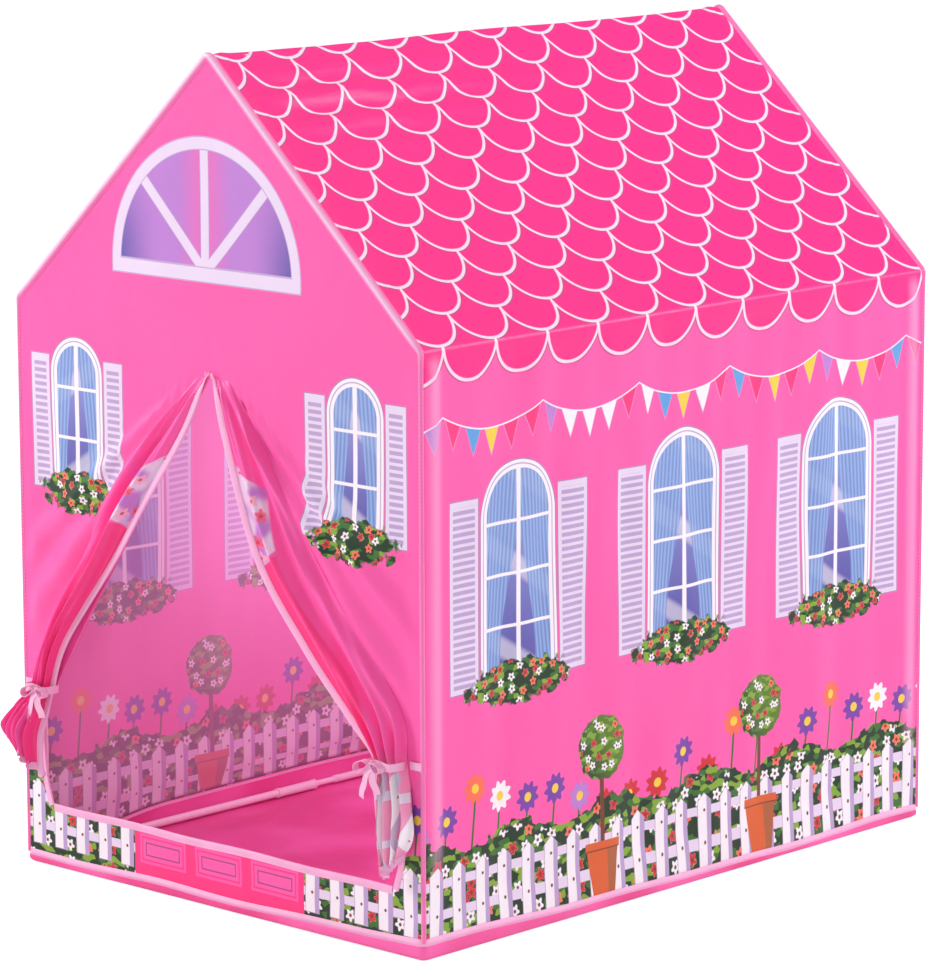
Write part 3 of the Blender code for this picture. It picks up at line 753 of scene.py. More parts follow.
def printed(name, isOnCloth, ghost=0.0):
    # A print, laid out along the piece's own cloth or over the object's x and z; ghost fades it.
    def paint(tree):
        spot = parts(attribute(tree, "clothPlace") if isOnCloth else coordinates(tree))
        group = prints[name]
        labels = [item.name for item in group.interface.items_tree if item.in_out == "INPUT"]
        colour = useGroup(group, tree, **{labels[0]: spot[0], labels[1]: spot[1 if isOnCloth else 2]})[0]
        return mix(ghost, colour, inks["inside"]) if ghost else colour
    return paint


def plain(*shade):
    # One colour with a slight cloud in it.
    def paint(tree):
        return mix(noiseValue(coordinates(tree), 30.0), ink(*shade), ink(*(part * 0.93 for part in shade)))
    return paint


def patchy(light, dark):
    # Soft lighter and darker patches of painted light and shade, as on a sheet that lies unevenly.
    def paint(tree):
        patches = fade(noiseValue(coordinates(tree), 5.5, 1.0), 0.36, 0.62)
        return mix(patches, ink(*dark), ink(*light))
    return paint


def highlitCrest(shade, crest, middle, reach):
    # A rolled edge with a painted highlight, paler along its crest, at the middle of the tape's width.
    def paint(tree):
        _, across, amount = parts(attribute(tree, "clothPlace"))
        mask = fade(abs(across - middle), reach, 0.0) * amount
        return mix(mask, plain(*shade)(tree), ink(*crest))
    return paint


cloths = {
    # The floor's lighter and darker patches are painted light and shade.
    "floor": clothMaterial("floorCloth", patchy((255, 104, 178), (238, 72, 146)), 0.36, crease=0.2),
    # The seam tapes' rolled edges carry a painted highlight along their crest.
    "edge": clothMaterial("seamEdge", highlitCrest((255, 112, 184), (255, 205, 236), 0.0116, 0.0062), 0.36, 0.2,
                          threads=1100.0, crease=0.5),
    "tape": clothMaterial("tapeCloth", plain(255, 182, 224), 0.55, 0.2, threads=1100.0, crease=0.5),
    "ribbon": clothMaterial("ribbonSatin", plain(255, 186, 224), 0.36, 0.3, threads=1400.0, crease=0.4),
    "thread": clothMaterial("sewingThread", plain(255, 214, 236), 0.5, 0.2, threads=2500.0, crease=0.2),
}
for name in ("side", "front", "rear"):
    isOnCloth = name == "side"
    cloths[name] = clothMaterial(name + "Cloth", printed(name, isOnCloth))
    cloths[name + "Inside"] = clothMaterial(name + "ClothInside", printed(name, isOnCloth, 0.5), 0.60)
for name in ("rightFlap", "leftFlap"):
    cloths[name] = clothMaterial(name + "Cloth", printed(name, True), place="clothPlace")


def plasticMaterial(name, shade, roughness, grain):
    # Moulded plastic with a faint grain, a few rubbed marks and a soft sheen.
    material, tree, shader = newMaterial(name)
    vector = coordinates(tree)
    rubAndHighlight = fade(noiseValue(vector, 60.0, 4.0), 0.52, 0.75)
    colour = mix(rubAndHighlight * 0.4, ink(*shade), ink(*(part * 0.92 for part in shade)))
    feed(tree, shader.inputs["Base Color"], colour)
    feed(tree, shader.inputs["Roughness"], rubAndHighlight * 0.15 + roughness)
    shader.inputs["Coat Weight"].default_value = 0.15
    addBump(tree, shader, noiseValue(vector, grain, 3.0), 0.5, 0.0001)
    return material


polePlastic = plasticMaterial("polePlastic", (255, 218, 232), 0.32, 300.0)
connectorPlastic = plasticMaterial("connectorPlastic", (244, 196, 214), 0.42, 900.0)
print("materials made")

# Mesh helpers


def addPiece(name, mesh, slot, *looks, body="root", replaces=()):
    for look in looks:
        mesh.materials.append(look)
    piece = bpy.data.objects.new(name, mesh)
    scene.collection.objects.link(piece)
    if body:
        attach(piece, body)
    if replaces:
        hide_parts(*replaces)
    return piece


def gridMesh(name, points, closedRows=False, closedColumns=False, flip=False, place=None):
    # A sheet of quads over an array of rows by columns of points, with its place on the flat cloth.
    rows, columns = points.shape[:2]
    index = np.arange(rows * columns).reshape(rows, columns)
    if closedRows:
        index = np.vstack([index, index[:1]])
    if closedColumns:
        index = np.hstack([index, index[:, :1]])
    quads = np.stack([index[:-1, :-1], index[1:, :-1], index[1:, 1:], index[:-1, 1:]], axis=-1).reshape(-1, 4)
    if flip:
        quads = quads[:, ::-1]
    mesh = bpy.data.meshes.new(name)
    mesh.from_pydata(points.reshape(-1, 3).tolist(), [], quads.tolist())
    if place is not None:
        layer = mesh.attributes.new("clothPlace", "FLOAT_VECTOR", "POINT")
        layer.data.foreach_set("vector", np.ascontiguousarray(place, dtype=np.float32).ravel())
    return mesh


def mergeClose(mesh, distance=0.00002):
    shape = bmesh.new()
    shape.from_mesh(mesh)
    bmesh.ops.remove_doubles(shape, verts=shape.verts, dist=distance)
    shape.to_mesh(mesh)
    shape.free()
    return mesh


def applied(mesh, setUp):
    # The mesh as a modifier leaves it.
    item = bpy.data.objects.new("bench", mesh)
    scene.collection.objects.link(item)
    setUp(item)
    result = bpy.data.meshes.new_from_object(item.evaluated_get(bpy.context.evaluated_depsgraph_get()))
    bpy.data.objects.remove(item)
    return result


def thickened(mesh, thickness, *looks):
    # The sheet with its thickness; the last of its looks goes on the inside.
    for look in looks:
        mesh.materials.append(look)

    def setUp(item):
        shell = item.modifiers.new("thickness", "SOLIDIFY")
        shell.thickness = thickness
        shell.offset = -1.0
        shell.material_offset = len(looks) - 1
    made = applied(mesh, setUp)
    made.shade_smooth()
    return made


def softNoise(points, scale, seed):
    # Smooth noise from -1 to 1 at each point of an array.
    shift = Vector((seed * 7.31, seed * 3.17, seed * 5.83))
    flat = points.reshape(-1, points.shape[-1])
    values = [noise.noise(Vector(point).to_3d() / scale + shift) for point in flat.tolist()]
    return np.array(values).reshape(points.shape[:-1])


def between(before, first, second, after, share):
    # A point between the first and the second, on the smooth curve through all four.
    bend = (2 * before - 5 * first + 4 * second - after) * share**2
    bend = bend + (3 * first - before - 3 * second + after) * share**3
    return 0.5 * (2 * first + (second - before) * share + bend)


def smoothPath(points, steps=5):
    # A curve through the given points, with steps between each two.
    points = np.array(points, float)
    padded = np.vstack([2 * points[0] - points[1], points, 2 * points[-1] - points[-2]])
    made = [between(*four, share) for four in zip(padded, padded[1:], padded[2:], padded[3:])
            for share in np.arange(steps) / steps]
    return np.array([*made, points[-1]])


def wayAlong(path):
    return np.concatenate([[0.0], np.cumsum(np.linalg.norm(np.diff(path, axis=0), axis=1))])


def unit(rows):
    return rows / np.linalg.norm(rows, axis=1)[:, None]


def stacked(x, y, z):           # a path, from three rows of numbers or single ones
    return np.column_stack(np.broadcast_arrays(x, y, z))


def tangents(path, closed=False):
    ahead = np.roll(path, -1, axis=0) - np.roll(path, 1, axis=0)
    if not closed:
        ahead[0] = path[1] - path[0]
        ahead[-1] = path[-1] - path[-2]
    return unit(ahead)


def swept(name, path, axisA, axisB, section, closed=False, size=1.0, amount=1.0):
    # A closed outline of (a, b) carried along a path, with a and b measured along two axes. Its place on
    # the flat tape is the way along it, the way round the outline, and an amount that the caller sets.
    section = np.array(section)
    axisA = np.broadcast_to(axisA, path.shape)
    axisB = np.broadcast_to(axisB, path.shape)
    scale = np.broadcast_to(size, len(path))[:, None, None]
    offset = section[None, :, :1] * axisA[:, None] + section[None, :, 1:] * axisB[:, None]
    points = path[:, None] + offset * scale
    place = np.zeros_like(points)
    place[..., 0] = wayAlong(path)[:, None]
    place[..., 1] = wayAlong(section)
    place[..., 2] = np.broadcast_to(amount, len(path))[:, None]
    mesh = gridMesh(name, points, closedRows=closed, closedColumns=True, place=place)
    shape = bmesh.new()
    shape.from_mesh(mesh)
    if not closed:
        shape.verts.ensure_lookup_table()
        count = len(section)
        shape.faces.new([shape.verts[i] for i in range(count)])
        shape.faces.new([shape.verts[len(path) * count - 1 - i] for i in range(count)])
    bmesh.ops.recalc_face_normals(shape, faces=shape.faces)
    if shape.calc_volume(signed=True) < 0:
        bmesh.ops.reverse_faces(shape, faces=shape.faces)
    shape.to_mesh(mesh)
    shape.free()
    mesh.shade_smooth()
    mesh.set_sharp_from_angle(angle=math.radians(50))
    return mesh


def joined(name, meshes):
    shape = bmesh.new()
    for mesh in meshes:
        shape.from_mesh(mesh)
    made = bpy.data.meshes.new(name)
    shape.to_mesh(made)
    shape.free()
    return made


def smoothStep(values):
    held = np.clip(values, 0, 1)
    return held * held * (3 - 2 * held)


mirror = np.array((-1.0, 1.0))
signs = {"right": 1, "left": -1}

# The house's outline, which the cover, gables and tapes share


def houseOutline(inset, spacing, foot=wallFoot, foldSteps=6):
    # Points from the right foot over the ridge to the left foot, their outward normals, and their
    # height on the print: below zero on the walls, above it on the roof.
    radius = foldRadius - inset
    eave, ridge = np.array((poleX, eavePoleZ)), np.array((0.0, ridgePoleZ))
    points, normals = [], []
    for z in np.linspace(foot, eavePoleZ, math.ceil((eavePoleZ - foot) / spacing), endpoint=False):
        points.append((poleX + radius, z))
        normals.append((1.0, 0.0))
    for angle in np.linspace(0, roofAngle, foldSteps + 1):
        normals.append((math.cos(angle), math.sin(angle)))
        points.append(eave + radius * np.array(normals[-1]))
    steps = math.ceil(np.linalg.norm(ridge - eave) / spacing)
    for share in np.arange(1, steps) / steps:
        normals.append((math.cos(roofAngle), math.sin(roofAngle)))
        points.append(eave + share * (ridge - eave) + radius * np.array(normals[-1]))
    for angle in np.linspace(roofAngle, math.pi / 2, foldSteps + 1):
        normals.append((math.cos(angle), math.sin(angle)))
        points.append(ridge + radius * np.array(normals[-1]))
    points, normals = np.array(points), np.array(normals)
    heights = wayAlong(points) - (eavePoleZ - foot) - radius * roofAngle / 2
    points = np.vstack([points, points[-2::-1] * mirror])
    normals = np.vstack([normals, normals[-2::-1] * mirror])
    return points, normals, np.concatenate([heights, heights[-2::-1]])


# Roof and side cover: one sheet that hangs over the poles

clothFoot = wallFoot - 0.002
seamGap = 0.0004            # between the cover's edges and a gable's plane
cover = {
    "cell": 0.0072,         # metres between its points
    "thickness": 0.0006,
    "roofSag": 0.0065,      # between ridge and eave, and between the rafters
    "ridgeSag": 0.0022,
    "wallHollow": 0.0040,   # the walls' pull inwards between the uprights
    "poleRidge": 0.0030,    # how far a pole behind the cloth pushes it out
    "roofRidge": 0.00135,   # and a rafter
    "poleWide": 0.0078,
    "ripple": 0.0022,
    "fold": 0.0056,         # long upright folds in the walls
    "crease": 0.0078,       # on the roof by the front of the ridge
    "creasePitch": 0.042,
    "creaseAt": (0.82, 0.14),       # middle and half width, as shares of the way from eave to ridge
    "creaseReach": 0.28,
    "cornerCrease": 0.0022,
    "cornerAt": (0.440, -0.022),    # y, and height beside the eave's fold
    "cornerTurn": 0.40,
}
foot = {
    "drop": 0.0110,         # how far the wall's foot hangs below the frame's seam
    "rise": 0.0095,         # how much higher it is drawn up at the front right corner
    "sideRise": 0.0230,     # and along the left side
    "wave": 0.0042,
    "waveLength": 0.17,
}


def footHeight(x, y):
    # The height of the seam between walls and floor, which runs in gentle waves.
    around = np.stack([np.asarray(x, float), np.asarray(y, float)], axis=-1)
    x, y = around[..., 0], around[..., 1]
    corner = np.exp(-(np.hypot(x - halfWidth, y + halfLength) / 0.30) ** 2)
    side = smoothStep((-x - halfWidth * 0.4) / 0.2) * smoothStep((y + halfLength - 0.04) / 0.2)
    rise = np.maximum(foot["rise"] * corner, foot["sideRise"] * side) - foot["drop"]
    return seamHeight + rise + foot["wave"] * softNoise(around, foot["waveLength"], 31)


def lowered(made):
    # The wall's points with their foot on that seam.
    x, y, z = made[..., 0], made[..., 1], made[..., 2]
    low = z.min()
    made[..., 2] = z + (footHeight(x, y) - low) * smoothStep(1 - (z - low) / 0.05)
    return made


def coverShift(points, heights, y):
    # How far each point stands out from the flat cloth, from rows of outline points and columns of y.
    top = heights.max()
    h, y = np.meshgrid(heights, y, indexing="ij")
    side = np.sign(points[:, :1]) * np.ones_like(y)
    place = np.stack([y, h * side, side * 2.0], axis=-1)
    held = np.clip(1 - np.abs(y / poleY) ** 6, 0, 1)
    share = np.clip(h / top, 0, 1)
    roof = smoothStep(h / 0.03)
    shift = -cover["roofSag"] * np.sin(math.pi * share) ** 0.8 * held * roof
    shift += cover["ripple"] * softNoise(place, 0.16, 1) * held * roof * np.sin(math.pi * share)
    creaseAt, creaseWide = cover["creaseAt"]
    nearRidge = np.exp(-((share - creaseAt) / creaseWide) ** 2)
    nearRidge = nearRidge * np.exp(-(y + halfLength) / cover["creaseReach"])
    wave = np.sin(2 * math.pi * h / cover["creasePitch"] + 1.6 * softNoise(place, 0.09, 2))
    shift += cover["crease"] * nearRidge * wave * held * roof
    wall = smoothStep(-h / 0.04)
    bottom = smoothStep((h - heights.min()) / 0.05)
    shift -= cover["wallHollow"] * held * wall * bottom
    shift += cover["ripple"] * 0.7 * softNoise(place, 0.22, 3) * held * wall * bottom
    shift += cover["fold"] * softNoise(place * (1.0, 0.22, 1.0), 0.048, 4) * held * wall * bottom
    shift -= cover["ridgeSag"] * smoothStep((share - 0.86) / 0.14) * held * (1 - np.exp(-(y / 0.11) ** 2))
    pole = np.exp(-((np.abs(y) - poleY) / cover["poleWide"]) ** 2)
    edge = smoothStep((halfLength - np.abs(y)) / 0.012)
    shift += pole * edge * (cover["poleRidge"] * wall * bottom + cover["roofRidge"] * roof)
    # A crease runs from each rear eave corner down and forward over the wall.
    along, across = y - cover["cornerAt"][0], h - cover["cornerAt"][1]
    crease = across * math.cos(cover["cornerTurn"]) - along * math.sin(cover["cornerTurn"])
    reach = np.exp(-((along + 0.035) / 0.035) ** 2)
    shift += cover["cornerCrease"] * np.exp(-(crease / 0.006) ** 2) * reach * wall
    return shift


def makeCover():
    points, normals, heights = houseOutline(0.0, cover["cell"], clothFoot)
    y = np.linspace(-halfLength + seamGap, halfLength - seamGap, int(2 * halfLength / cover["cell"]) + 1)
    shift = coverShift(points, heights, y)
    x, z = np.moveaxis(points[:, None] + normals[:, None] * shift[..., None], -1, 0)
    place = np.stack(np.broadcast_arrays(y, heights[:, None], np.sign(points[:, :1])), axis=-1)
    made = lowered(np.stack([x, y * np.ones_like(x), z], axis=-1))
    mesh = thickened(gridMesh("tentCover", made, flip=True, place=place), cover["thickness"],
                     cloths["side"], cloths["sideInside"])
    piece = addPiece("tentCover", mesh, "tent_fabric", replaces=("roof_and_side_cover",))


makeCover()
print("cover made")

# Gables: the front one has the door's opening, whose cloth is gathered into the two flaps

gable = {
    "cell": 0.006,          # metres between its points
    "rings": 46,            # from the door's edge to the gable's sewn edge
    "thickness": 0.0006,
    "foldDepth": 0.0105,    # soft folds that fan from the door's apex
    "foldTurn": 8.0,        # degrees from one of those folds to the next
    "foldSpan": (22.0, 60.0),       # degrees out from the middle, where they begin and end
    "foldReach": 0.60,
    "ripple": 0.0018,
    "fold": 0.0042,         # long upright folds beside the door
    "tieShare": 0.735,      # where the ties hold the door's sides, as a share of its height
    "tieAcross": 0.940,     # and of its half width
    "edgeTuck": 0.0096,     # how far the opening's edge lies under the flaps there
    "footSwell": 0.013,     # how far the door's edge is drawn out between the tie and the sill
}


def resample(points, shares):
    away = wayAlong(points)
    return np.stack([np.interp(shares * away[-1], away, points[:, axis]) for axis in (0, 1)], axis=1)


def gableShift(points, isFront):
    # How far each point stands out from the gable's plane.
    x, z = points[..., 0], points[..., 1]
    shift = gable["ripple"] * softNoise(points, 0.17, 5 if isFront else 8)
    shift += gable["fold"] * softNoise(points * (1.0, 0.20), 0.056, 6) * smoothStep((0.66 - z) / 0.2)
    if isFront:
        dx, dz = x, doorTop + 0.02 - z
        away = np.hypot(dx, dz)
        angle = np.degrees(np.arctan2(np.abs(dx), dz))
        begin, end = gable["foldSpan"]
        fan = smoothStep((angle - begin) / 8) * smoothStep((end - angle) / 16)
        fan = fan * smoothStep((away - 0.02) / 0.12) * smoothStep((gable["foldReach"] - away) / 0.22)
        wave = np.sin(2 * math.pi * angle / gable["foldTurn"] + np.sign(x) * 0.8)
        shift = shift + gable["foldDepth"] * fan * (0.5 + 0.5 * wave)
    return shift


def edgeHold(points):
    # Zero at the gable's sewn edge, one a little way in.
    x, z = np.abs(points[..., 0]), points[..., 1]
    underRoof = (poleX - x) * math.cos(roofAngle) + (eavePoleZ - z) * math.sin(roofAngle) + foldRadius
    return smoothStep(np.minimum(np.minimum(halfWidth - x, z - wallFoot), underRoof) / 0.035)


def doorFoot():
    # The door's edge from the sill's end up to the tie, which draws it outwards.
    tieX = doorHalfWidth * gable["tieAcross"] + gable["edgeTuck"]
    tieZ = doorTop - doorHeight * gable["tieShare"]
    out = doorHalfWidth + gable["footSwell"]
    steps = ((doorHalfWidth, sillHeight), (out - 0.003, sillHeight + 0.035), (out, sillHeight + 0.078),
             (out - 0.004, tieZ - 0.030), (tieX, tieZ))
    return smoothPath(steps)


def frontShift(points):
    # How far the front gable stands out: not at all at its sewn edge and round the door.
    x, z = np.abs(points[..., 0]), points[..., 1]
    tieX, drop = doorHalfWidth * gable["tieAcross"], doorHeight * gable["tieShare"]
    slant = (x * drop - (doorTop - z) * tieX) / math.hypot(tieX, drop)
    away = np.maximum(np.maximum(slant, x - doorHalfWidth - gable["footSwell"]), sillHeight - z)
    return gableShift(points, True) * edgeHold(points) * smoothStep((away - 0.012) / 0.022)


def makeFrontGable():
    outline, _, _ = houseOutline(seamGap, gable["cell"], clothFoot)
    count = len(outline) // 2 + 1
    doorSide = np.vstack([doorFoot(), ((0.0, doorTop),)])
    outerRight = outline[:count]
    away = wayAlong(outerRight)
    innerRight = resample(doorSide, away / away[-1])
    steps = np.linspace(-1, 1, int(2 * halfWidth / gable["cell"]))[1:-1, None]
    rings = []
    for half in (innerRight, outerRight):
        foot = np.hstack([steps * half[0, 0], np.full_like(steps, half[0, 1])])
        rings.append(np.vstack([half, half[-2::-1] * mirror, foot]))
    inner, outer = rings
    shares = np.linspace(0, 1, gable["rings"])[:, None, None]
    flat = inner + (outer - inner) * shares
    made = lowered(np.stack([flat[..., 0], frontFace - frontShift(flat), flat[..., 1]], axis=-1))
    finishGable(gridMesh("frontGable", made, closedColumns=True), "frontGable", "front", -1)


def makeRearGable():
    outline, _, _ = houseOutline(seamGap, gable["cell"], clothFoot)
    right = outline[:len(outline) // 2 + 1]
    across = np.linspace(-1, 1, int(2 * halfWidth / gable["cell"]))
    flat = np.stack([right[:, None, 0] * across, right[:, None, 1] * np.ones_like(across)], axis=-1)
    shift = gableShift(flat, False) * edgeHold(flat)
    made = lowered(np.stack([flat[..., 0], halfLength + shift, flat[..., 1]], axis=-1))
    finishGable(mergeClose(gridMesh("rearGable", made)), "rearGable", "rear", 1)


def facing(mesh, direction):
    # Turns the whole sheet round if it faces away from the direction.
    total = Vector((0.0, 0.0, 0.0))
    for face in mesh.polygons:
        total += face.normal * face.area
    if total.dot(Vector(direction)) < 0:
        mesh.flip_normals()


def finishGable(mesh, name, end, sign):
    facing(mesh, (0.0, sign, 0.0))
    mesh = thickened(mesh, gable["thickness"], cloths[end], cloths[end + "Inside"])
    piece = addPiece(name, mesh, "tent_fabric", replaces=(end + "_gable",))


makeFrontGable()
makeRearGable()
print("gables made")

# Floor: a tray whose border is turned up and sewn to the walls' foot

floor = {
    "cell": 0.010,
    "thickness": 0.0008,
    "corner": 0.010,
    "bend": 0.005,
    "rim": 0.004,           # from the bend to the first row of the flat sheet
    "poleClear": 0.012,     # how much of it lies flat inside the poles
    "borderTop": 0.0185,
    "bulge": 0.0030,
    "wrinkle": 0.0046,      # how far the sheet lifts in soft folds between the poles
}


def cornerLoop(halfX, halfY, radius, count):
    # A rectangle with rounded corners, as points with a share of them on each side, anticlockwise.
    made = []
    for turn in range(4):
        angle = turn * math.pi / 2
        first = (halfX, halfY) if turn % 2 == 0 else (halfY, halfX)
        corner = np.array((first[0] - radius, first[1] - radius))
        spots = [corner + radius * np.array((math.cos(a), math.sin(a)))
                 for a in np.linspace(0, math.pi / 2, 7)]
        spots += [(corner[0] * share, first[1]) for share in np.linspace(1, -1, count[turn % 2] + 1)[1:-1]]
        ahead, across = math.cos(angle), math.sin(angle)
        made += [(x * ahead - y * across, x * across + y * ahead) for x, y in spots]
    return np.array(made)


def makeFloor():
    counts = (int(2 * halfWidth / floor["cell"]), int(2 * halfLength / floor["cell"]))
    rows = []
    levels = [(floor["borderTop"] * share, 0.0) for share in (1.0, 0.8, 0.6, 0.42, 0.30)]
    levels += [(floor["bend"] * (1 - math.sin(a)), floor["bend"] * (1 - math.cos(a)))
               for a in np.linspace(0.2, math.pi / 2, 5)]
    rim = floor["rim"]
    insets = [*np.arange(floor["bend"] + rim, halfWidth - rim, floor["cell"]), halfWidth - 0.001]
    for z, inset in [*levels, *((0.0, inset) for inset in insets)]:
        halfX, halfY = halfWidth - inset, halfLength - inset
        radius = max(floor["corner"] - inset, min(halfX, 0.0015))
        loop = cornerLoop(halfX, halfY, min(radius, halfX), counts)
        rows.append(stacked(*loop.T, z))
    made = np.array(rows)
    outward = np.sign(made[0, :, :2]) * (np.abs(made[0, :, :2]) / (halfWidth, halfLength) > 0.985)
    swell = np.sin(math.pi * np.clip(made[..., 2] / floor["borderTop"], 0, 1)) ** 0.8
    uneven = 0.75 + 0.55 * softNoise(made[0][:, :2], 0.075, 11)
    made[..., :2] += (floor["bulge"] * swell * uneven)[..., None] * outward
    x, y = np.abs(made[..., 0]), np.abs(made[..., 1])
    made[..., 2] *= (footHeight(made[0, :, 0], made[0, :, 1]) - 0.0005) / floor["borderTop"]
    clear = floor["poleClear"]
    free = smoothStep((poleX - clear - x) / 0.05) * smoothStep((poleY - clear - y) / 0.05)
    folds = softNoise(made[..., :2] * (1.0, 0.55), 0.10, 12) + 0.5 * softNoise(made[..., :2], 0.045, 13)
    made[..., 2] += floor["wrinkle"] * free * (0.9 + folds)
    mesh = mergeClose(gridMesh("floorSheet", made, closedColumns=True), 0.00001)
    facing(mesh, (0.0, 0.0, -1.0))
    mesh = thickened(mesh, floor["thickness"], cloths["floor"])
    piece = addPiece("floorSheet", mesh, "floor_fabric", replaces=("floor_sheet",))


# Tapes that bind the seams: a gable's is folded over its corner, the others lie over an edge

tape = {
    "cell": 0.012,
    "wide": 0.0074,         # how far a tape reaches on each side of a corner
    "thick": 0.0009,
    "roll": 0.0042,         # radius of the roll of cloth at the corner
    "rollIn": 0.0014,       # how far the roll's middle lies inside the corner
    "doorWide": 0.0085,
    "footHigh": 0.0098,
    "sillHigh": 0.0092,
    "sillDrop": 0.0018,     # how far its middle lies below the door's foot
    "sillWave": 0.0007,
    "tackHalf": 0.0055,     # half the width of the tack at the door's apex
    "tackPitch": 0.0012,    # from one of its rows to the next
}


def makeGableTape(name, sign, node):
    wide, thick, roll, deep = tape["wide"], tape["thick"], tape["roll"], tape["rollIn"]
    outline, normals, _ = houseOutline(0.0, tape["cell"], wallFoot, 5)
    path = stacked(outline[:, 0], sign * halfLength, outline[:, 1])
    axisA = stacked(normals[:, 0], 0.0, normals[:, 1])
    axisB = np.array((0.0, sign, 0.0))
    section = [(thick * 0.4, -wide), (thick, -wide * 0.86)]
    section += [(roll * math.cos(a) - deep, roll * math.sin(a) - deep)
                for a in np.linspace(-0.62, math.pi / 2 + 0.62, 11)]
    section += [(-wide * 0.86, thick), (-wide, thick * 0.4)]
    section += [(-wide, -0.0002), (-0.0002, -0.0002), (-0.0002, -wide)]
    path[:, 2] = np.where(path[:, 2] < wallFoot + 0.001, footHeight(path[:, 0], path[:, 1]), path[:, 2])
    roof = smoothStep((path[:, 2] - eavePoleZ + 0.02) / 0.05)
    size = (0.55 + 0.45 * roof)[:, None]
    # The amount sets the painted highlight on the tape's crest: full on the roof, faint down the walls.
    mesh = swept(name, path, axisA, axisB, section, size=size[:, 0], amount=0.15 + 0.85 * roof)
    addPiece(name, mesh, "piping", cloths["edge"], replaces=(node,))
    above, inward = (thick + 0.0002) * size, wide * 0.72 * size
    return [path + axisA * above - axisB * inward, path + axisB * above - axisA * inward]


def makeFootTape():
    thick, high = tape["thick"], tape["footHigh"]
    counts = (int(2 * halfWidth / tape["cell"]), int(2 * halfLength / tape["cell"]))
    x, y = cornerLoop(halfWidth, halfLength, floor["corner"], counts).T
    path = stacked(x, y, footHeight(x, y))
    ahead = tangents(path, closed=True)
    outward = unit(stacked(ahead[:, 1], -ahead[:, 0], 0.0))
    section = [(0.0004, -high / 2), (thick, -high * 0.44), (0.0030, -high * 0.12), (0.0034, 0.0),
               (0.0030, high * 0.14), (thick, high * 0.44), (0.0004, high / 2), (-0.0006, high * 0.45),
               (-0.0006, -high * 0.45)]
    mesh = swept("footTape", path, outward, np.array((0.0, 0.0, 1.0)), section, closed=True)
    addPiece("footTape", mesh, "piping", cloths["tape"], replaces=("foot_piping",))
    return [path + outward * (thick + 0.0003) + np.array((0.0, 0.0, high * 0.34))]


def makeSillTape():
    thick, high = tape["thick"], tape["sillHigh"]
    end = doorHalfWidth - 0.002
    x = np.linspace(-end, end, 60)
    path = stacked(x, frontFace + 0.0004, sillHeight - tape["sillDrop"] + tape["sillWave"] * np.sin(x * 31.0))
    outline = [(-0.62, 1.0), (-0.2, 1.5), (0.2, 1.7), (0.36, 1.0), (0.42, 0.0), (0.36, -1.0), (0.1, -1.6),
               (-0.62, -1.2)]
    mesh = swept("sillTape", path, np.array((0.0, 0.0, 1.0)), np.array((0.0, -1.0, 0.0)),
                 [(high * up, thick * out) for up, out in outline])
    addPiece("sillTape", mesh, "piping", cloths["tape"], replaces=("sill_binding",))
    return [path + np.array((0.0, -thick - 0.0004, -high * 0.45))]


def makeDoorFootTape():
    # The binding of the door's edge from each tie down to the sill.
    thick, width = tape["thick"], tape["doorWide"]
    edge = doorFoot()
    seams, made = [], []
    for sign in (-1, 1):
        path = stacked(edge[:, 0] * sign, frontFace + 0.0002, edge[:, 1])
        ahead = tangents(path)
        outward = np.cross(ahead, (0.0, -1.0, 0.0))
        outward *= np.sign(outward[:, :1]) * sign
        section = [(width, thick * 0.6), (width * 0.9, thick), (0.0, thick * 1.5), (-0.0012, 0.0),
                   (0.0, -thick * 1.7), (width, -thick * 1.2)]
        made.append(swept("doorFoot", path, outward, np.array((0.0, -1.0, 0.0)), section))
        seams.append(path + outward * width * 0.78 + np.array((0.0, -thick - 0.0003, 0.0)))
    addPiece("doorFootTape", joined("doorFootTape", made), "piping", cloths["tape"])
    return seams


def apexRows():
    # Close rows of stitches that hold the top of the door's slit.
    x = np.linspace(-tape["tackHalf"], tape["tackHalf"], 4)
    return [stacked(x, frontFace - 0.0048, doorTop + tape["tackPitch"] * row) for row in range(-1, 3)]


# Stitches, spread along any path by one node tree

stitch = {
    "pitch": 0.0046,        # from one stitch to the next
    "length": 0.0031,
    "thick": 0.00055,
}


def stitchTree(material):
    # Long beads at a pitch along every edge of a mesh.
    tree = bpy.data.node_groups.new("sewnStitches", "GeometryNodeTree")
    kinds = {"Path": "Geometry", "Pitch": "Float", "Length": "Float", "Thickness": "Float"}
    for label, kind in kinds.items():
        tree.interface.new_socket(name=label, in_out="INPUT", socket_type="NodeSocket" + kind)
    tree.interface.new_socket(name="Stitches", in_out="OUTPUT", socket_type="NodeSocketGeometry")
    add, link = tree.nodes.new, tree.links.new
    given, result = add("NodeGroupInput"), add("NodeGroupOutput")
    curve, spots = add("GeometryNodeMeshToCurve"), add("GeometryNodeCurveToPoints")
    spots.mode = "LENGTH"
    link(given.outputs["Path"], curve.inputs[0])
    link(curve.outputs[0], spots.inputs["Curve"])
    link(given.outputs["Pitch"], spots.inputs["Length"])
    turn, bead = add("FunctionNodeAlignRotationToVector"), add("GeometryNodeMeshUVSphere")
    turn.axis = "Z"
    link(spots.outputs["Tangent"], turn.inputs["Vector"])
    bead.inputs["Segments"].default_value = 6
    bead.inputs["Rings"].default_value = 4
    bead.inputs["Radius"].default_value = 0.5
    size, place = add("ShaderNodeCombineXYZ"), add("GeometryNodeInstanceOnPoints")
    link(given.outputs["Thickness"], size.inputs[0])
    link(given.outputs["Thickness"], size.inputs[1])
    link(given.outputs["Length"], size.inputs[2])
    link(spots.outputs["Points"], place.inputs["Points"])
    link(bead.outputs["Mesh"], place.inputs["Instance"])
    link(turn.outputs[0], place.inputs["Rotation"])
    link(size.outputs[0], place.inputs["Scale"])
    real, coat = add("GeometryNodeRealizeInstances"), add("GeometryNodeSetMaterial")
    coat.inputs["Material"].default_value = material
    link(place.outputs[0], real.inputs[0])
    link(real.outputs[0], coat.inputs["Geometry"])
    link(coat.outputs[0], result.inputs[0])
    return tree


stitches = stitchTree(cloths["thread"])


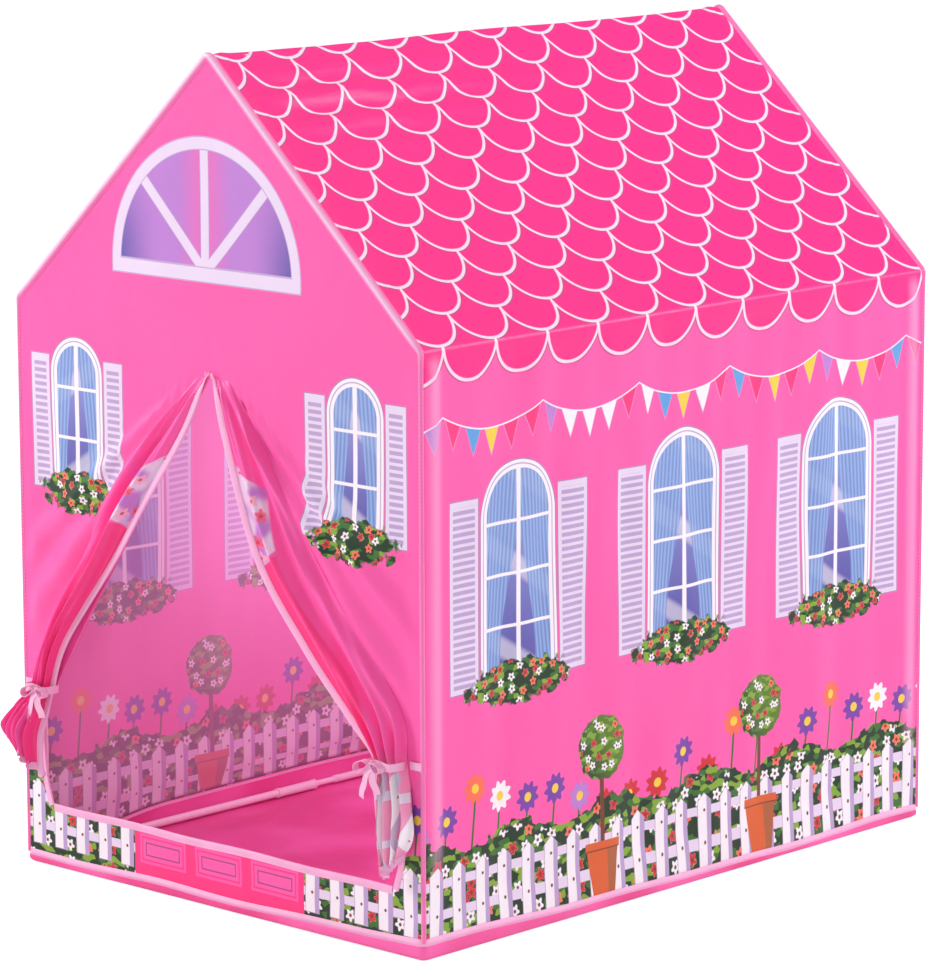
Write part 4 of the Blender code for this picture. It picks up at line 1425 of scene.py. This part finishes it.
def sew(name, paths, body="root", closed=False):
    # Stitches along each path, as one plain mesh.
    def setUp(item):
        row = item.modifiers.new("stitches", "NODES")
        row.node_group = stitches
        sizes = {"Pitch": stitch["pitch"], "Length": stitch["length"], "Thickness": stitch["thick"]}
        for socket in stitches.interface.items_tree:
            if socket.in_out == "INPUT" and socket.name in sizes:
                row[socket.identifier] = sizes[socket.name]

    made = []
    for path in paths:
        count = len(path)
        edges = [(i, (i + 1) % count) for i in range(count if closed else count - 1)]
        thread = bpy.data.meshes.new("stitchLine")
        thread.from_pydata(path.tolist(), edges, [])
        made.append(applied(thread, setUp))
    mesh = joined(name, made)
    mesh.shade_smooth()
    return addPiece(name, mesh, "piping", cloths["thread"], body=body)


sew("frontStitches", makeGableTape("frontTape", -1, "front_piping"))
sew("rearStitches", makeGableTape("rearTape", 1, "rear_piping"))
sew("footStitches", makeFootTape(), closed=True)
sew("sillStitches", makeSillTape())
sew("doorFootStitches", makeDoorFootTape())
sew("apexTack", apexRows())
makeFloor()
print("floor, tapes and stitches made")

# Door flaps: the cloth of each side of the door, gathered and drawn back to its tie

flap = {
    "columns": 64,
    "rows": 150,
    "depth": 0.030,
    "thickness": 0.0006,
    "foldsAbove": {"right": 2, "left": 2},
    "foldsBelow": {"right": 4, "left": 5},
    "depthAbove": 1.5,      # how deep the folds are beside the room that they have, near the apex
    "depthBelow": 1.4,      # and from the tie down
    "gather": (0.34, 0.26),         # where the folds above part into those below, and over how much
    "fine": 0.0012,         # small creases all over it
    "stand": 0.0009,        # how far its back stays off the gable
    "tuck": 0.07,           # share of its way, from the apex, that is tucked into the gable
    "flatBand": 0.20,       # share of the width that lies flat along the door's edge
    "cut": (0.293, 0.571),  # each flap's half of the door before it is tied back
    "tieAt": 0.625,         # where the tie holds it, as a share of the way from apex to hem
    "edgeTape": 0.0085,
    "hemReach": 0.05,       # how far up the cloth the hem's tape turns to, as a share of the way
}
# From the apex to the hem: inner across, inner drop, outer across, outer drop, inner lift, outer lift and
# pleat height. Across is a share of the door's half width, drop of its height, the rest of the depth.
flapStations = {
    "right": (
        (0.020, 0.008, 0.075, -0.004, 0.10, 0.00, 0.05),
        (0.105, 0.120, 0.270, 0.100, 0.42, 0.00, 0.20),
        (0.330, 0.360, 0.590, 0.335, 0.85, 0.00, 0.36),
        (0.600, 0.530, 0.890, 0.500, 0.86, 0.00, 0.46),
        (0.810, 0.650, 1.060, 0.630, 0.66, 0.00, 0.48),
        (0.940, 0.735, 1.080, 0.735, 0.34, 0.00, 0.44),
        (0.950, 0.810, 1.120, 0.815, 0.46, 0.10, 0.56),
        (0.980, 0.890, 1.130, 0.880, 0.60, 0.20, 0.62),
        (1.000, 0.975, 1.080, 0.930, 0.52, 0.20, 0.48),
    ),
    "left": (
        (0.020, 0.008, 0.060, -0.004, 0.10, 0.00, 0.05),
        (0.120, 0.125, 0.320, 0.130, 0.30, 0.00, 0.22),
        (0.340, 0.290, 0.600, 0.290, 0.50, 0.00, 0.38),
        (0.530, 0.430, 0.770, 0.430, 0.56, 0.00, 0.46),
        (0.830, 0.620, 1.000, 0.635, 0.50, 0.00, 0.50),
        (0.940, 0.735, 1.080, 0.735, 0.34, 0.00, 0.44),
        (0.955, 0.790, 1.130, 0.775, 0.58, 0.40, 0.62),
        (0.975, 0.850, 1.170, 0.815, 0.75, 0.95, 0.60),
        (0.990, 0.935, 1.120, 0.850, 0.60, 0.90, 0.50),
    ),
}


def stationValues(side, position):
    # The seven values at each position from 0 to 1, on a smooth curve through the stations.
    table = np.array(flapStations[side])
    count = len(table) - 1
    at = np.minimum(np.asarray(position) * count, count - 1e-9)
    index = at.astype(int)
    share = (at - index)[..., None]
    before, first = table[np.maximum(index - 1, 0)], table[index]
    second, after = table[index + 1], table[np.minimum(index + 2, count)]
    return np.moveaxis(between(before, first, second, after, share), -1, 0)


def flapPoints(side, across, position):
    # Points of a flap, from its door edge (across 0) to its outer edge (across 1).
    across, position = np.broadcast_arrays(across, position)
    innerX, innerDrop, outerX, outerDrop, lift, outerLift, pleat = stationValues(side, position)
    x = doorHalfWidth * (innerX + (outerX - innerX) * across)
    z = doorTop - doorHeight * (innerDrop + (outerDrop - innerDrop) * across)
    folded = np.clip((across - flap["flatBand"]) / (1 - flap["flatBand"]), 0, 1)
    uneven = 0.35 * np.sin(position * 9.0 + across * 5.0) + 0.2 * np.sin(position * 23.0)
    uneven = uneven * smoothStep(folded * 4)
    above, below = (0.5 - 0.5 * np.cos(2 * math.pi * flap[name][side] * folded + uneven)
                    for name in ("foldsAbove", "foldsBelow"))
    gatherFrom, gatherOver = flap["gather"]
    gather = smoothStep((position - gatherFrom) / gatherOver)
    wave = above * flap["depthAbove"] * (1 - gather) + below * flap["depthBelow"] * gather
    carried = outerLift + (lift - outerLift) * (1 - across) ** 0.8
    forward = flap["depth"] * (carried + pleat * wave * (1 - across * 0.4) * smoothStep(folded * 6))
    fine = np.sin(across * 41.0 + position * 6.0) * np.sin(position * 31.0 + across * 9.0)
    forward = forward + flap["fine"] * fine * smoothStep(position / 0.1) * smoothStep((folded - 0.05) / 0.2)
    closeness = np.clip(1 - np.abs(position - flap["tieAt"]) / 0.16, 0, 1)
    # By the door's apex the folds come out of the gable's own cloth, so the flap's top is tucked in.
    tucked = (1 - smoothStep(position / flap["tuck"])) * smoothStep(across / 0.5)
    forward = forward * (1 - tucked)
    hidden = np.maximum(smoothStep((across - 0.9) / 0.1) * (outerLift < 0.05), tucked)
    stand = flap["stand"] + 0.0012 * smoothStep(closeness) - 0.0016 * hidden
    x = x * signs[side]
    shift = frontShift(np.stack([x, z], axis=-1))
    return np.stack([x, frontFace - stand - forward - shift, z], axis=-1)


def blendFlap(piece):
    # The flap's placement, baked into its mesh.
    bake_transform(piece)


def makeFlap(side):
    across = np.linspace(0, 1, flap["columns"] + 1)
    position = np.linspace(0, 1, flap["rows"] + 1)[:, None]
    made = flapPoints(side, across[None, :], position)
    out = np.array([wayAlong(row) for row in made])
    along = wayAlong(made[:, 0])[:, None]
    place = np.stack(np.broadcast_arrays(out, along, 0.0), axis=-1)
    mesh = gridMesh(side + "DoorFlap", made, place=place)
    facing(mesh, (0.0, -1.0, 0.0))
    mesh = thickened(mesh, flap["thickness"], cloths[side + "Flap"])
    piece = addPiece(side + "DoorFlap", mesh, "flap_fabric", body=None, replaces=(side + "_door_flap",))
    blendFlap(piece)
    makeFlapTape(side, position[:, 0])


def makeFlapTape(side, position):
    # The tape along the flap's door edge and round its hem, folded over the cloth's edge.
    hem = np.linspace(0, 1, 34)[1:]
    path = np.vstack([flapPoints(side, 0.0, position), flapPoints(side, hem, 1.0)])
    path[0] = (signs[side] * 0.0012, frontFace - 0.0040, doorTop + 0.001)
    width = flap["edgeTape"]
    innerWidth = np.linalg.norm(flapPoints(side, 1.0, position) - flapPoints(side, 0.0, position), axis=1)
    reach = np.minimum(width / np.maximum(innerWidth, 0.02), 0.5)
    second = np.vstack([flapPoints(side, reach, position), flapPoints(side, hem, 1.0 - flap["hemReach"])])
    axisA = unit(second - path)
    ahead = tangents(path)
    axisB = unit(np.cross(ahead, axisA))
    axisB *= np.where(axisB[:, 1] > 0, -1.0, 1.0)[:, None]
    axisA = np.cross(axisB, ahead) * np.sign(np.sum(np.cross(axisB, ahead) * axisA, axis=1))[:, None]
    section = [(width, 0.0006), (width * 0.9, 0.0010), (0.0010, 0.0013), (-0.0006, 0.0008), (-0.0010, 0.0),
               (-0.0006, -0.0012), (0.0010, -0.0016), (width * 0.9, -0.0014), (width, -0.0010)]
    size = 0.3 + 0.7 * smoothStep(wayAlong(path) / 0.05)
    mesh = swept(side + "FlapTape", path, axisA, axisB, section, size=size)
    blendFlap(addPiece(side + "FlapTape", mesh, "piping", cloths["tape"], body=None))
    seam = (path + axisA * width * 0.78 + axisB * 0.0013)[2:]
    blendFlap(sew(side + "FlapStitches", [seam], body=None))


for side in signs:
    makeFlap(side)
print("door flaps made")

# Ties: a ribbon round each flap's neck with its bow, and the strap that sews it to the corner

tie = {
    "width": 0.0095,
    "thick": 0.0008,
    "clear": 0.0022,        # how far the ring stands off the gathered cloth at each side
    "knot": 0.0046,
    "loop": 0.021,
    "tail": 0.040,
}
# The ways of a loop and of a tail from the knot, as shares of their length: across, forward and up
loopWay = ((0.0, 0.0, 0.0), (0.45, -0.10, 0.34), (0.95, -0.16, 0.26), (1.05, -0.14, -0.06),
           (0.75, -0.12, -0.26), (0.35, -0.06, -0.12), (0.0, 0.0, 0.0))
tailWay = ((0.0, 0.0, 0.0), (0.10, -0.10, -0.22), (0.17, -0.13, -0.55), (0.30, -0.10, -0.80),
           (0.34, -0.07, -1.0))


def ribbonMesh(name, path, face, closed=False, width=tie["width"]):
    # A flat ribbon along a path; face is the way that its flat side looks.
    ahead = tangents(path, closed)
    across = unit(np.cross(ahead, np.broadcast_to(np.array(face, float), path.shape)))
    outline = ((-1.0, -0.8), (-0.84, -1.0), (0.84, -1.0), (1.0, -0.8), (1.0, 0.8), (0.84, 0.7), (-0.84, 0.7),
               (-1.0, 0.8))
    section = [(width / 2 * side, tie["thick"] / 2 * out) for side, out in outline]
    return swept(name, path, across, np.cross(across, ahead), section, closed)


def ringMesh(side, height):
    # The ribbon round the flap's neck, and the place of its knot.
    sign = signs[side]
    neck = flapPoints(side, np.linspace(0, 1, 40), flap["tieAt"])
    reach = np.abs(neck[:, 0])
    low, high = reach.min() - tie["clear"], reach.max() + tie["clear"]
    front, back = neck[:, 1].min() - 0.0016, frontFace - 0.0008
    middle, deep = (low + high) / 2, (back - front) / 2
    x, y = cornerLoop((high - low) / 2, deep, deep * 0.8, (8, 8)).T
    ring = stacked(sign * middle + x, (front + back) / 2 + y, height + 0.0012 * np.sin((x - x[0]) * 180.0))
    outward = (ring - ring.mean(axis=0)) * (1.0, 1.0, 0.0)
    knot = np.array((sign * (middle - (high - low) * 0.18), front - tie["knot"] * 0.7, height))
    return ribbonMesh("ring", ring, outward, closed=True), knot


def bowMeshes(knot):
    # The knot with its core, then a loop and a tail to each side.
    angle = np.linspace(0, 2 * math.pi, 17)[:-1]
    across, deep = tie["knot"] * np.cos(angle), tie["knot"] * np.sin(angle)
    wound = stacked(across * 0.9, deep * 0.75, 0.0)
    core = stacked(across * 0.7, deep * 0.5, across * 0.7)
    made = [ribbonMesh("knot", wound + knot, wound, closed=True, width=tie["knot"] * 1.7),
            ribbonMesh("knotCore", core + knot, core, closed=True, width=tie["knot"] * 1.5)]
    for turn, size in ((-1, tie["loop"]), (1, tie["loop"] * 0.8)):
        path = smoothPath([knot + size * np.array((turn * x, y - 0.06, z - 0.25 * x)) for x, y, z in loopWay])
        made.append(ribbonMesh("loop", path, (path - path.mean(axis=0)) * (1.0, 0.3, 1.0)))
    for turn, size in ((-1, tie["tail"]), (1, tie["tail"] * 0.82)):
        path = smoothPath([knot + size * np.array((turn * x, y - 0.02, z)) for x, y, z in tailWay])
        made.append(ribbonMesh("tail", path, (0.25 * turn, -1.0, -0.1)))
    return made


def makeTie(side):
    low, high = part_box(side + "_tie_strap")
    middle = (low + high) / 2
    ring, knot = ringMesh(side, middle.z)
    bow = joined(side + "TieBow", [ring, *bowMeshes(knot)])
    addPiece(side + "TieBow", bow, "ribbon", cloths["ribbon"], body=side + "_flap",
             replaces=(side + "_tie_bow",))
    x = np.linspace(low.x, high.x, 12)[::signs[side]]
    sag = 0.0008 * np.sin(np.linspace(0, math.pi, 12))
    strap = ribbonMesh(side + "TieStrap", stacked(x, middle.y - sag, middle.z), (0.0, -1.0, 0.0))
    addPiece(side + "TieStrap", strap, "ribbon", cloths["ribbon"], replaces=(side + "_tie_strap",))


for side in signs:
    makeTie(side)
print("ties made")

# The frame keeps its own solids and gets its plastic

for name, node in nodes.items():
    isPole = "pole" in name or name.startswith(("upright", "rafter"))
    if isPole or "corner" in name or name.startswith("ridge_joint"):
        node.data.materials.clear()
        node.data.materials.append(polePlastic if isPole else connectorPlastic)

# Stage and light

light = {
    "sky": 0.39,
    "floorGlow": 0.67,      # of the studio's floor, for the camera alone
    "clothGlow": 4.6,       # watts
    "glowPlace": (0.0, 0.05, 0.48),
}
# Soft lamps: place, the point that each is turned to, size in metres, watts and colour
lamps = {
    "leftLight": ((-3.0, -2.5, 2.3), (0.0, -0.2, 0.5), 0.9, 112.0, (1.0, 0.98, 0.96)),
    "frontLight": ((2.2, -3.6, 1.4), (0.0, 0.0, 0.5), 1.2, 22.0, (1.0, 1.0, 1.0)),
    "rightLight": ((2.9, 2.4, 2.3), (0.0, 0.0, 0.5), 0.9, 90.0, (1.0, 1.0, 1.0)),
    "topLight": ((0.6, 0.2, 3.4), (0.0, 0.0, 0.6), 1.8, 20.0, (1.0, 1.0, 1.0)),
}


def makeStage():
    mesh = bpy.data.meshes.new("studioFloor")
    half = 40.0
    corners = ((-1, -1), (1, -1), (1, 1), (-1, 1))
    mesh.from_pydata([(x * half, y * half, -0.0004) for x, y in corners], [], [(0, 1, 2, 3)])
    ground = bpy.data.objects.new("studioFloor", mesh)
    scene.collection.objects.link(ground)
    material, tree, shader = newMaterial("studioFloor")
    shader.inputs["Base Color"].default_value = (0.93, 0.93, 0.93, 1.0)
    shader.inputs["Roughness"].default_value = 0.9
    shader.inputs["Specular IOR Level"].default_value = 0.0
    path = tree.nodes.new("ShaderNodeLightPath")
    seen = Value(tree, path.outputs["Is Camera Ray"])
    shader.inputs["Emission Color"].default_value = (1.0, 1.0, 1.0, 1.0)
    feed(tree, shader.inputs["Emission Strength"], seen * light["floorGlow"])
    mesh.materials.append(material)


def makeWorld():
    world = bpy.data.worlds.new("studio")
    scene.world = world
    world.use_nodes = True
    tree = world.node_tree
    tree.nodes.clear()
    add, link = tree.nodes.new, tree.links.new
    soft, clear = add("ShaderNodeBackground"), add("ShaderNodeBackground")
    blend, out = add("ShaderNodeMixShader"), add("ShaderNodeOutputWorld")
    soft.inputs[0].default_value = (0.98, 0.98, 1.0, 1.0)
    soft.inputs[1].default_value = light["sky"]
    clear.inputs[0].default_value = (1.0, 1.0, 1.0, 1.0)
    path = add("ShaderNodeLightPath")
    straight = Value(tree, path.outputs["Is Camera Ray"])
    through = Value(tree, path.outputs["Is Transmission Ray"])
    feed(tree, blend.inputs[0], largest(straight, through))
    link(soft.outputs[0], blend.inputs[1])
    link(clear.outputs[0], blend.inputs[2])
    link(blend.outputs[0], out.inputs[0])


def addLamp(name, kind, place, watts, colour):
    data = bpy.data.lights.new(name, kind)
    data.energy = watts
    data.color = colour
    lamp = bpy.data.objects.new(name, data)
    scene.collection.objects.link(lamp)
    lamp.location = place
    return lamp


makeStage()
makeWorld()
for name, (place, aim, size, watts, colour) in lamps.items():
    lamp = addLamp(name, "AREA", place, watts, colour)
    lamp.data.size = size
    lamp.rotation_mode = "QUATERNION"
    lamp.rotation_quaternion = (Vector(aim) - Vector(place)).to_track_quat("-Z", "Y")
# The light that thin cloth lets through, as a soft lamp in the middle of the tent.
glow = addLamp("clothGlow", "POINT", light["glowPlace"], light["clothGlow"], (0.80, 0.87, 1.0))
glow.data.shadow_soft_size = 0.16
glow.visible_camera = False
print("stage and lights made")
